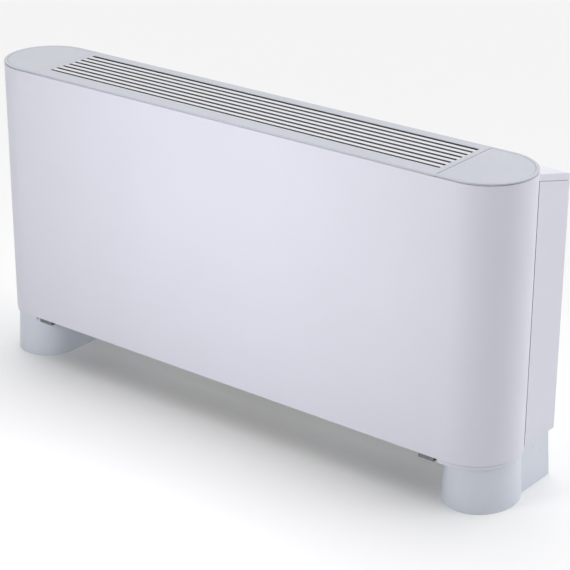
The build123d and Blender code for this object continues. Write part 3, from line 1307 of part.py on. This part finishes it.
with BuildPart() as terminal_block:
    terminal_y = BACK_PLATE_Y - TERMINAL_DEPTH / 2
    with Locations((TERMINAL_X, terminal_y, TERMINAL_Z + TERMINAL_HEIGHT / 2)):
        Box(TERMINAL_WIDTH, TERMINAL_DEPTH, TERMINAL_HEIGHT)
        with GridLocations(TERMINAL_WIDTH / TERMINAL_COUNT, 0, TERMINAL_COUNT, 1):
            Cylinder(WIRE_HOLE_R, TERMINAL_HEIGHT - TERMINAL_FLOOR, mode=Mode.SUBTRACT)
    with Locations((TERMINAL_X, terminal_y - TERMINAL_DEPTH / 2, TERMINAL_Z + TERMINAL_HEIGHT / 2)):
        with GridLocations(TERMINAL_WIDTH / TERMINAL_COUNT, 0, TERMINAL_COUNT, 1):
            Cylinder(SCREW_WELL_R, 12.0, rotation=(90, 0, 0), mode=Mode.SUBTRACT)
save("terminal_block", terminal_block)

CAPACITOR_X = -505.0
CAPACITOR_Y = 92.0
CAPACITOR_R = 15.0
CAPACITOR_Z = 330.0
CAPACITOR_HEIGHT = 62.0

with BuildPart() as run_capacitor:
    with Locations((CAPACITOR_X, CAPACITOR_Y, CAPACITOR_Z + CAPACITOR_HEIGHT / 2)):
        Cylinder(CAPACITOR_R, CAPACITOR_HEIGHT)
    fillet(run_capacitor.edges().filter_by(GeomType.CIRCLE), radius=1.5)
    with Locations((CAPACITOR_X, (CAPACITOR_Y + BACK_PLATE_Y) / 2, CAPACITOR_Z + 20.0)):
        Box(12.0, BACK_PLATE_Y - CAPACITOR_Y, 10.0)
    with Locations([(CAPACITOR_X + dx, CAPACITOR_Y, CAPACITOR_Z - 4.0) for dx in (-5.0, 5.0)]):
        Box(0.8, 6.0, 8.0)
save("run_capacitor", run_capacitor)

LOOM_TOP = (LOOM_X, CABINET_Y, CONTROL_BOX_BOTTOM)
LOOM_ROUTE = bent_route(
    [
        LOOM_TOP,
        (LOOM_X, CABINET_Y, 440.0),
        (TERMINAL_X, BACK_PLATE_Y - TERMINAL_DEPTH / 2, 400.0),
        (TERMINAL_X, BACK_PLATE_Y - TERMINAL_DEPTH / 2, TERMINAL_Z + TERMINAL_HEIGHT),
    ],
    20.0,
)

with BuildPart() as wiring_loom:
    with BuildSketch(Plane(origin=LOOM_TOP, z_dir=(0, 0, -1))):
        Circle(LOOM_R)
    sweep(path=LOOM_ROUTE)
save("wiring_loom", wiring_loom)

FOAM_FRONT_Y = FRONT_Y + SHEET + 0.1
FOAM_BACK_Y = CHASSIS_FRONT_Y - 0.5
FOAM_LOW = 120.0
FOAM_HIGH = 540.0

with BuildPart() as front_insulation:
    with Locations((0, (FOAM_FRONT_Y + FOAM_BACK_Y) / 2, (FOAM_LOW + FOAM_HIGH) / 2)):
        Box(2 * CHASSIS_X, FOAM_BACK_Y - FOAM_FRONT_Y, FOAM_HIGH - FOAM_LOW)
save("front_insulation", front_insulation)

# ---------------------------------------------------------------- panel screws
FLAT_HEAD = 1.2
CONTROL_HEAD = 1.5

with BuildPart() as panel_screws:
    with Locations([(x, COVER_SCREW_Y, COVER_BOTTOM + 2.0) for x in COVER_SCREW_X]):
        Cylinder(COVER_SCREW_R, 4.0)
    with Locations([(x, COVER_SCREW_Y, COVER_BOTTOM - FLAT_HEAD / 2) for x in COVER_SCREW_X]):
        Cylinder(SCREW_HEAD_R, FLAT_HEAD)
    with Locations([(x, BACK_PLATE_Y, z) for x, z in BACK_SCREWS]):
        Cylinder(BACK_SCREW_R, 2 * PLATE, rotation=(90, 0, 0))
    with Locations([(x, BACK_Y - FLAT_HEAD / 2, z) for x, z in BACK_SCREWS]):
        Cylinder(SCREW_HEAD_R, FLAT_HEAD, rotation=(90, 0, 0))
    with Locations([(-SOCKET_X, y, CONTROL_BOTTOM + 4.0) for y in SOCKET_YS]):
        Cylinder(SMALL_SCREW_R, 8.0)
    with Locations([(-SOCKET_X, y, CONTROL_BOTTOM - CONTROL_HEAD / 2) for y in SOCKET_YS]):
        Cylinder(SCREW_HEAD_R, CONTROL_HEAD)
save("panel_screws", panel_screws)
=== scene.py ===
"""Looks for the floor-standing fan convector: finishes for every CAD node, fine pieces, studio and camera."""

import math

import bpy
from mathutils import Matrix, Vector


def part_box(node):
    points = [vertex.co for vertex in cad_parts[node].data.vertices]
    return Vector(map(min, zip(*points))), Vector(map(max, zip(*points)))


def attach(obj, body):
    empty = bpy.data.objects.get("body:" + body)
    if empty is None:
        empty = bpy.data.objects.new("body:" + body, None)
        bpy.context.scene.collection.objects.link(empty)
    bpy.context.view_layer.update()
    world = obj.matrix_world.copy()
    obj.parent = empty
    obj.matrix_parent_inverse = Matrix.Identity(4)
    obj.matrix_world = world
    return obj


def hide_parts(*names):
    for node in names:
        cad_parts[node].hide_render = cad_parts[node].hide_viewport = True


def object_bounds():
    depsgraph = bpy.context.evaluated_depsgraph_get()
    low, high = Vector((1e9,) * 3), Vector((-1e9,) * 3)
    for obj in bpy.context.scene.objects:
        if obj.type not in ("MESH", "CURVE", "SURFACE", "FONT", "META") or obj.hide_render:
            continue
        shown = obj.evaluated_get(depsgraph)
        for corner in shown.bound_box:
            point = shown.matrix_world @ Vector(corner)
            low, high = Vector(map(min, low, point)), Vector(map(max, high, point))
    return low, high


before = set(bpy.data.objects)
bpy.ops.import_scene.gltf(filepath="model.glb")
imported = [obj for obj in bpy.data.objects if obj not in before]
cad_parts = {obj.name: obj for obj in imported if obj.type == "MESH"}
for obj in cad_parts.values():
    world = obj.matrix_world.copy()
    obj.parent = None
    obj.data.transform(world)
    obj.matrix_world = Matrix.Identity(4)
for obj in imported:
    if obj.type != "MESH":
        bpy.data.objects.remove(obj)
CAD_LOW, CAD_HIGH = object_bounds()

MM = 0.001
scene = bpy.context.scene
scene.view_settings.view_transform = "Standard"


# ---------------------------------------------------------------- finishes

# Nearly all of a noise pattern lies between these values.
NOISE_RANGE = (0.3, 0.7)


class Finish:
    """A Principled material drawn with nodes in the object's own coordinates, which are metres.

    A noise or cell pattern has about as many features in a metre as its scale says.
    """

    def __init__(self, name, colour, roughness, metallic=0.0):
        self.material = bpy.data.materials.new(name)
        self.material.use_nodes = True
        self.tree = self.material.node_tree
        self.shader = next(n for n in self.tree.nodes if n.type == "BSDF_PRINCIPLED")
        self.place = self.tree.nodes.new("ShaderNodeTexCoord").outputs["Object"]
        self.shader.inputs["Base Color"].default_value = colour + (1.0,)
        self.shader.inputs["Roughness"].default_value = roughness
        self.shader.inputs["Metallic"].default_value = metallic
        self.normal = None

    def stretched(self, scale):
        """The object's coordinates, with a scale of their own on each axis."""
        mapping = self.tree.nodes.new("ShaderNodeMapping")
        self.tree.links.new(self.place, mapping.inputs["Vector"])
        mapping.inputs["Scale"].default_value = scale
        return mapping.outputs["Vector"]

    def noise(self, scale, detail=2.0, place=None, distortion=0.0):
        node = self.tree.nodes.new("ShaderNodeTexNoise")
        self.tree.links.new(place or self.place, node.inputs["Vector"])
        node.inputs["Scale"].default_value = scale
        node.inputs["Detail"].default_value = detail
        node.inputs["Distortion"].default_value = distortion
        return node.outputs["Fac"]

    def cells(self, scale, output="Distance"):
        node = self.tree.nodes.new("ShaderNodeTexVoronoi")
        self.tree.links.new(self.place, node.inputs["Vector"])
        node.inputs["Scale"].default_value = scale
        return node.outputs[output]

    def bands(self, scale, axis, distortion=0.0):
        """Stripes across the axis, of which a metre holds about 3.2 times the scale."""
        node = self.tree.nodes.new("ShaderNodeTexWave")
        node.wave_type = "BANDS"
        node.bands_direction = axis
        self.tree.links.new(self.place, node.inputs["Vector"])
        node.inputs["Scale"].default_value = scale
        node.inputs["Distortion"].default_value = distortion
        node.inputs["Detail"].default_value = 0.0
        return node.outputs["Fac"]

    def span(self, pattern, low, high, source=(0.0, 1.0)):
        """The pattern, remapped from the source range to low..high."""
        node = self.tree.nodes.new("ShaderNodeMapRange")
        self.tree.links.new(pattern, node.inputs["Value"])
        node.inputs["From Min"].default_value, node.inputs["From Max"].default_value = source
        node.inputs["To Min"].default_value = low
        node.inputs["To Max"].default_value = high
        return node.outputs["Result"]

    def colours(self, pattern, first, second):
        """The base colour goes from first to second as the pattern goes from 0 to 1."""
        node = self.tree.nodes.new("ShaderNodeMix")
        node.data_type = "RGBA"
        self.tree.links.new(pattern, node.inputs[0])
        sockets = [s for s in node.inputs if s.type == "RGBA"]
        for socket, colour in zip(sockets, (first, second)):
            socket.default_value = colour + (1.0,)
        blended = next(s for s in node.outputs if s.type == "RGBA")
        self.tree.links.new(blended, self.shader.inputs["Base Color"])

    def roughness(self, pattern, low, high, source=(0.0, 1.0)):
        """The roughness goes from low to high as the pattern goes through the source range."""
        self.tree.links.new(self.span(pattern, low, high, source), self.shader.inputs["Roughness"])

    def relief(self, height, depth, strength):
        """Bump of that depth in metres, on top of any relief given before."""
        node = self.tree.nodes.new("ShaderNodeBump")
        node.inputs["Strength"].default_value = strength
        node.inputs["Distance"].default_value = depth
        self.tree.links.new(height, node.inputs["Height"])
        if self.normal is not None:
            self.tree.links.new(self.normal, node.inputs["Normal"])
        self.normal = node.outputs["Normal"]
        self.tree.links.new(self.normal, self.shader.inputs["Normal"])


def tinted(colour, factor):
    return tuple(min(1.0, c * factor) for c in colour)


def powder_coat(name, colour):
    """Satin powder paint: a slight orange peel, and gloss and tint that drift over a hand's width."""
    paint = Finish(name, colour, 0.4)
    drift = paint.span(paint.noise(5.0, 3.0), 0.0, 1.0, NOISE_RANGE)
    paint.colours(drift, tinted(colour, 0.985), tinted(colour, 1.01))
    paint.roughness(paint.noise(45.0, 4.0), 0.36, 0.46, NOISE_RANGE)
    paint.relief(paint.noise(420.0), 0.00006, 0.35)
    paint.relief(paint.noise(1900.0, 1.0), 0.00002, 0.3)
    return paint


def moulded_plastic(name, colour, roughness, grain=1300.0, depth=0.00003, drift=0.02):
    """Injection-moulded plastic with a spark-eroded grain. drift is how far its tint goes each way."""
    plastic = Finish(name, colour, roughness)
    cloud = plastic.span(plastic.noise(9.0, 4.0), 0.0, 1.0, NOISE_RANGE)
    plastic.colours(cloud, tinted(colour, 1.0 - drift), tinted(colour, 1.0 + drift))
    plastic.roughness(plastic.noise(160.0, 5.0), roughness - 0.05, roughness + 0.06, NOISE_RANGE)
    plastic.relief(plastic.cells(grain), depth, 0.4)
    return plastic


def plain_metal(name, colour, roughness, smear=0.06):
    """Plain or plated metal, slightly cloudy. smear is how far its roughness goes each way."""
    metal = Finish(name, colour, roughness, 1.0)
    cloud = metal.span(metal.noise(38.0, 5.0), 0.0, 1.0, NOISE_RANGE)
    metal.colours(cloud, tinted(colour, 0.93), tinted(colour, 1.04))
    metal.roughness(metal.noise(110.0, 4.0), roughness - smear, roughness + smear, NOISE_RANGE)
    metal.relief(metal.noise(240.0, 4.0), 0.00002, 0.4)
    return metal


def brushed_metal(name, colour, roughness, metallic):
    """Metal with fine grain lines along X."""
    metal = Finish(name, colour, roughness, metallic)
    lines = metal.noise(1.0, 3.0, metal.stretched((2.0, 700.0, 700.0)))
    metal.roughness(lines, roughness - 0.07, roughness + 0.08, NOISE_RANGE)
    streaks = metal.span(lines, 0.0, 1.0, (0.35, 0.65))
    metal.colours(streaks, tinted(colour, 0.95), tinted(colour, 1.02))
    metal.relief(lines, 0.00001, 0.4)
    return metal


def galvanised_sheet(name):
    """Hot-dip zinc: crystals a few millimetres across, each with its own grey and gloss."""
    zinc = Finish(name, (0.56, 0.58, 0.6), 0.42, 0.9)
    crystal = zinc.tree.nodes.new("ShaderNodeSeparateColor")
    zinc.tree.links.new(zinc.cells(130.0, "Color"), crystal.inputs[0])
    grey, gloss = crystal.outputs[0], crystal.outputs[1]
    zinc.colours(grey, (0.54, 0.56, 0.58), (0.64, 0.66, 0.68))
    zinc.roughness(gloss, 0.34, 0.52)
    zinc.relief(zinc.noise(300.0, 3.0), 0.00003, 0.3)
    return zinc


def laminated_steel(name):
    """A stator stack: sheets about half a millimetre thick, pressed together along X."""
    stack = Finish(name, (0.5, 0.5, 0.51), 0.38, 1.0)
    sheets = stack.bands(314.0, "X")
    stack.colours(sheets, (0.34, 0.34, 0.36), (0.6, 0.6, 0.61))
    stack.roughness(sheets, 0.5, 0.32)
    stack.relief(sheets, 0.00012, 0.6)
    return stack


def wound_copper(name):
    """Enamelled copper wire, laid side by side round the stator. Its colour is painted shade in the grooves
    between the turns and painted light on their crowns.
    """
    wire = Finish(name, (0.55, 0.2, 0.07), 0.3, 0.85)
    turns = wire.bands(300.0, "DIAGONAL", distortion=0.4)
    # Painted shade and light: dark where the bump sinks between the wires, and light on each wire's crown.
    wire.colours(turns, (0.25, 0.07, 0.025), (0.66, 0.26, 0.1))
    wire.roughness(wire.noise(90.0), 0.24, 0.4)
    wire.relief(turns, 0.0003, 0.7)
    return wire


def tube_copper(name):
    """Drawn copper tube that has begun to darken in patches."""
    tube = Finish(name, (0.72, 0.34, 0.2), 0.28, 1.0)
    patches = tube.span(tube.noise(26.0, 6.0, distortion=0.6), 0.0, 1.0, (0.38, 0.66))
    tube.colours(patches, (0.8, 0.4, 0.25), (0.45, 0.19, 0.1))
    tube.roughness(patches, 0.22, 0.42)
    draw_lines = tube.noise(1.0, 2.0, tube.stretched((12.0, 900.0, 900.0)))
    tube.relief(draw_lines, 0.000012, 0.4)
    return tube


def soft_rubber(name, colour):
    """Rubber with a pale bloom."""
    rubber = Finish(name, colour, 0.62)
    bloom = rubber.span(rubber.noise(50.0, 5.0), 0.0, 1.0, (0.35, 0.7))
    rubber.colours(bloom, tinted(colour, 0.8), tinted(colour, 1.35))
    rubber.roughness(bloom, 0.55, 0.75)
    rubber.relief(rubber.noise(800.0), 0.00005, 0.4)
    return rubber


def cell_foam(name):
    """Closed-cell sheet foam: skin with small round cells, painted darker in each cell's pit as painted
    shade.
    """
    foam = Finish(name, (0.09, 0.095, 0.1), 0.85)
    cells = foam.cells(520.0)
    # Painted shade: each cell goes dark at its pit, where the bump is lowest, and lighter towards its rim.
    foam.colours(foam.span(cells, 0.0, 1.0, (0.0, 0.8)), (0.05, 0.053, 0.057), (0.13, 0.135, 0.14))
    foam.roughness(foam.noise(200.0), 0.78, 0.95)
    foam.relief(cells, 0.0005, 0.6)
    return foam


def cast_metal(name):
    """Die-cast aluminium with the fine pebbling of the mould."""
    cast = Finish(name, (0.6, 0.61, 0.62), 0.5, 0.9)
    cloud = cast.span(cast.noise(30.0, 4.0), 0.0, 1.0, NOISE_RANGE)
    cast.colours(cloud, (0.52, 0.53, 0.54), (0.66, 0.67, 0.68))
    pebbles = cast.noise(520.0, 5.0)
    cast.roughness(pebbles, 0.42, 0.6, NOISE_RANGE)
    cast.relief(pebbles, 0.00015, 0.5)
    return cast


# One finish for each material slot of the record.
FINISHES = {
    "painted_steel": powder_coat("painted_steel", (0.7, 0.7, 0.79)),
    "grey_plastic": moulded_plastic("grey_plastic", (0.53, 0.548, 0.615), 0.4),
    "foot_plastic": moulded_plastic("foot_plastic", (0.66, 0.7, 0.78), 0.32, 1500.0, 0.00002),
    "louvre_aluminium": brushed_metal("louvre_aluminium", (0.62, 0.625, 0.65), 0.34, 0.5),
    "galvanised": galvanised_sheet("galvanised"),
    "zinc_steel": plain_metal("zinc_steel", (0.7, 0.7, 0.66), 0.3),
    "latch_steel": plain_metal("latch_steel", (0.2, 0.2, 0.21), 0.38),
    "bright_steel": plain_metal("bright_steel", (0.66, 0.66, 0.67), 0.22, 0.04),
    "cast_aluminium": cast_metal("cast_aluminium"),
    "aluminium_fin": plain_metal("aluminium_fin", (0.8, 0.81, 0.82), 0.32),
    "copper": tube_copper("copper"),
    "brass": plain_metal("brass", (0.74, 0.55, 0.27), 0.3, 0.05),
    "rubber": soft_rubber("rubber", (0.03, 0.03, 0.032)),
    "foam": cell_foam("foam"),
    "net_plastic": moulded_plastic("net_plastic", (0.16, 0.17, 0.18), 0.55, 900.0),
    "black_plastic": moulded_plastic("black_plastic", (0.035, 0.036, 0.04), 0.42, 1100.0, 0.00004, 0.1),
    "white_plastic": moulded_plastic("white_plastic", (0.8, 0.8, 0.78), 0.35),
}

# Nodes whose finish isn't their slot's.
# The base caps are the same grey plastic as the top caps. This lighter copy is painted light: it lifts the
# shade that the overhanging cover casts on them.
BASE_PLASTIC_PAINTED_LIGHT = moulded_plastic("base_plastic_painted_light", (0.68, 0.69, 0.76), 0.4)
NODE_FINISHES = {
    "base_cap_left": BASE_PLASTIC_PAINTED_LIGHT,
    "base_cap_right": BASE_PLASTIC_PAINTED_LIGHT,
    "motor_stator": laminated_steel("laminated_steel"),
    "stator_windings": wound_copper("wound_copper"),
}

for node_name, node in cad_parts.items():
    for held in node.material_slots:
        slot_name = held.material.name.split(".")[0]
        finish = NODE_FINISHES.get(node_name) or FINISHES[slot_name]
        held.material = finish.material


# ---------------------------------------------------------------- fine pieces


def mesh_piece(name, points, faces, slot, body):
    """A flat-shaded mesh that rides on the body and takes the slot's finish."""
    mesh = bpy.data.meshes.new(name)
    mesh.from_pydata(points, [], faces)
    mesh.materials.append(FINISHES[slot].material)
    mesh.update()
    piece = bpy.data.objects.new(name, mesh)
    scene.collection.objects.link(piece)
    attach(piece, body)
    return piece


COIL_TILT = math.radians(22.0)
FIN_PITCH = 2.4 * MM
FIN_THICK = 0.2 * MM
FIN_WAVE = 0.45 * MM
FIN_STEPS = 16
FIN_WAVES = 4


def coil_fin_pack():
    """Corrugated fins, edge to edge through the whole coil, which leans by its tilt."""
    low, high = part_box("coil_fins")
    centre = (low + high) / 2

    # The height and depth of the leaning pack, from the upright box round it.
    wide, tall = high.y - low.y, high.z - low.z
    c, s = math.cos(COIL_TILT), math.sin(COIL_TILT)
    height = (tall * c - wide * s) / (c * c - s * s)
    depth = (wide * c - tall * s) / (c * c - s * s)
    along, across = Vector((0, s, c)), Vector((0, -c, s))

    count = int((high.x - low.x) / FIN_PITCH)
    margin = FIN_WAVE + FIN_THICK
    pitch = (high.x - low.x - 2 * margin) / (count - 1)
    row = FIN_STEPS + 1
    points, faces = [], []
    for i in range(count):
        start = len(points)
        for side in (-0.5, 0.5):
            for end in (-0.5, 0.5):
                for k in range(row):
                    wave = FIN_WAVE * math.sin(2 * math.pi * FIN_WAVES * k / FIN_STEPS)
                    x = low.x + margin + i * pitch + side * FIN_THICK + wave
                    offset = along * (end * height) + across * ((k / FIN_STEPS - 0.5) * depth)
                    points.append((x, centre.y + offset.y, centre.z + offset.z))
        left_low, left_high, right_low, right_high = (start + r * row for r in range(4))
        for k in range(FIN_STEPS):
            n = k + 1
            faces.append((left_low + k, left_low + n, left_high + n, left_high + k))
            faces.append((right_low + k, right_high + k, right_high + n, right_low + n))
            faces.append((left_low + k, right_low + k, right_low + n, left_low + n))
            faces.append((left_high + k, left_high + n, right_high + n, right_high + k))
        e = FIN_STEPS
        faces.append((left_low, left_high, right_high, right_low))
        faces.append((left_low + e, right_low + e, right_high + e, left_high + e))
    fins = mesh_piece("coil_fin_pack", points, faces, "aluminium_fin", "cabinet")
    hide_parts("coil_fins")


coil_fin_pack()

NET_PITCH = 2.5 * MM
STRAND_SIDES = 6


def filter_strands():
    """An extruded net: one layer of strands along X, and one along Y under it."""
    low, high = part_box("filter_net")
    radius = (high.z - low.z) / 4
    up = Vector((0, 0, 1))
    points, faces = [], []

    def strand(start, end, side):
        """A closed prism from start to end. side is level, and square to its length."""
        first = len(points)
        for place in (start, end):
            for k in range(STRAND_SIDES):
                angle = 2 * math.pi * (k + 0.5) / STRAND_SIDES
                points.append(place + side * (radius * math.cos(angle)) + up * (radius * math.sin(angle)))
        for k in range(STRAND_SIDES):
            n = (k + 1) % STRAND_SIDES
            faces.append((first + k, first + n, first + STRAND_SIDES + n, first + STRAND_SIDES + k))
        faces.append(tuple(first + k for k in reversed(range(STRAND_SIDES))))
        faces.append(tuple(first + STRAND_SIDES + k for k in range(STRAND_SIDES)))

    rows = int((high.y - low.y) / NET_PITCH)
    z = high.z - radius
    for i in range(rows + 1):
        y = low.y + radius + i * (high.y - low.y - 2 * radius) / rows
        strand(Vector((low.x, y, z)), Vector((high.x, y, z)), Vector((0, 1, 0)))
    columns = int((high.x - low.x) / NET_PITCH)
    z = low.z + radius
    for i in range(columns + 1):
        x = low.x + radius + i * (high.x - low.x - 2 * radius) / columns
        strand(Vector((x, low.y, z)), Vector((x, high.y, z)), Vector((-1, 0, 0)))
    net = mesh_piece("filter_strands", points, faces, "net_plastic", "filter")
    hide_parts("filter_net")


filter_strands()

# Angles of the marks round each knob, from the way its pointer points at rest.
DIAL_MARKS = {
    "thermostat_knob": [27.0 * i - 135.0 for i in range(11)],
    "speed_knob": [-45.0 * i for i in range(4)],
}
MARK_START, MARK_END = 15.2 * MM, 17.8 * MM
MARK_HALF = 0.5 * MM
MARK_HEIGHT = 0.2 * MM
MARK_BEVEL = 0.15 * MM


def dial_marks():
    """Raised marks on the control plate, one for each step of the two knobs."""
    plate_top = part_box("control_plate")[1].z
    points, faces = [], []
    for knob, angles in DIAL_MARKS.items():
        low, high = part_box(knob)
        centre = (low + high) / 2
        for angle in angles:
            c, s = math.cos(math.radians(angle)), math.sin(math.radians(angle))
            first = len(points)
            for z, inset in ((plate_top, 0.0), (plate_top + MARK_HEIGHT, MARK_BEVEL)):
                near, far, half = MARK_START + inset, MARK_END - inset, MARK_HALF - inset
                for out, side in ((near, -half), (far, -half), (far, half), (near, half)):
                    points.append((centre.x + out * c - side * s, centre.y + out * s + side * c, z))
            faces.append(tuple(first + k for k in (3, 2, 1, 0)))
            faces.append(tuple(first + k for k in (4, 5, 6, 7)))
            for k in range(4):
                n = (k + 1) % 4
                faces.append((first + k, first + n, first + 4 + n, first + 4 + k))
    mesh_piece("dial_marks", points, faces, "white_plastic", "cabinet")


dial_marks()


# ---------------------------------------------------------------- studio

FLOOR_SIZE = 60.0


def studio_floor():
    """Pale paper that the object stands on."""
    mesh = bpy.data.meshes.new("studio_floor")
    half = FLOOR_SIZE / 2
    corners = [(x, y, CAD_LOW.z) for x, y in ((-half, -half), (half, -half), (half, half), (-half, half))]
    mesh.from_pydata(corners, [], [(0, 1, 2, 3)])
    floor = bpy.data.objects.new("studio_floor", mesh)
    scene.collection.objects.link(floor)
    paper = Finish("studio_paper", (0.96, 0.96, 0.96), 0.7)
    paper.roughness(paper.noise(3.0), 0.65, 0.75)
    mesh.materials.append(paper.material)


studio_floor()

DOME_TOWARDS = (0.0, 0.6, 0.8)
DOME_DARK, DOME_BRIGHT = 0.1, 1.4
DOME_EDGES = (0.15, 0.75)


def studio_dome():
    """A white backdrop overhead and behind the object, and a dim room in front of it."""
    world = bpy.data.worlds.new("studio_dome")
    world.use_nodes = True
    scene.world = world
    tree = world.node_tree
    air = next(n for n in tree.nodes if n.type == "BACKGROUND")
    direction = tree.nodes.new("ShaderNodeTexCoord").outputs["Generated"]
    facing = tree.nodes.new("ShaderNodeVectorMath")
    facing.operation = "DOT_PRODUCT"
    tree.links.new(direction, facing.inputs[0])
    facing.inputs[1].default_value = DOME_TOWARDS
    glow = tree.nodes.new("ShaderNodeMapRange")
    glow.interpolation_type = "SMOOTHSTEP"
    tree.links.new(facing.outputs["Value"], glow.inputs["Value"])
    glow.inputs["From Min"].default_value, glow.inputs["From Max"].default_value = DOME_EDGES
    glow.inputs["To Min"].default_value, glow.inputs["To Max"].default_value = DOME_DARK, DOME_BRIGHT
    air.inputs["Color"].default_value = (1.0, 1.0, 1.0, 1.0)
    tree.links.new(glow.outputs["Result"], air.inputs["Strength"])


studio_dome()

# place, aim, width, height, watts
SOFT_BOXES = {
    "key_front": ((0.0, -0.98, 0.62), (0.0, -0.11, 0.38), 0.45, 0.35, 4.4),
    "side_right": ((1.45, 0.5, 1.05), (0.5, 0.0, 0.45), 0.5, 0.5, 1.8),
}

for light_name, (place, aim, width, height, watts) in SOFT_BOXES.items():
    light = bpy.data.lights.new(light_name, "AREA")
    light.shape = "RECTANGLE"
    light.size, light.size_y = width, height
    light.energy = watts
    lamp = bpy.data.objects.new(light_name, light)
    lamp.location = place
    lamp.rotation_mode = "QUATERNION"
    lamp.rotation_quaternion = (Vector(place) - Vector(aim)).to_track_quat("Z", "Y")
    lamp.visible_camera = False
    scene.collection.objects.link(lamp)


# ---------------------------------------------------------------- camera

CAMERA_AZIMUTH = math.radians(38.077)
CAMERA_ELEVATION = math.radians(23.012)
CAMERA_ROLL = math.radians(0.21)
CAMERA_DISTANCE = 3.3648
CAMERA_AIM = Vector((0.052, 0.0, 0.249))
SENSOR_WIDTH = 36.0
FOCAL_LENGTH = 122.418947


def towards(azimuth, elevation):
    """The direction from the object to a place round it. Azimuth 0 is in front, and +X is at 90 degrees."""
    reach = math.cos(elevation)
    return Vector((math.sin(azimuth) * reach, -math.cos(azimuth) * reach, math.sin(elevation)))


camera_data = bpy.data.cameras.new("photo_camera")
camera_data.sensor_width = SENSOR_WIDTH
camera_data.lens = FOCAL_LENGTH
camera = bpy.data.objects.new("photo_camera", camera_data)
back = towards(CAMERA_AZIMUTH, CAMERA_ELEVATION)
level = Vector((0, 0, 1)).cross(back).normalized()
upward = back.cross(level)
right = level * math.cos(CAMERA_ROLL) + upward * math.sin(CAMERA_ROLL)
upright = upward * math.cos(CAMERA_ROLL) - level * math.sin(CAMERA_ROLL)
turn = Matrix((right, upright, back)).transposed().to_4x4()
camera.matrix_world = Matrix.Translation(CAMERA_AIM + back * CAMERA_DISTANCE) @ turn
scene.collection.objects.link(camera)
scene.camera = camera
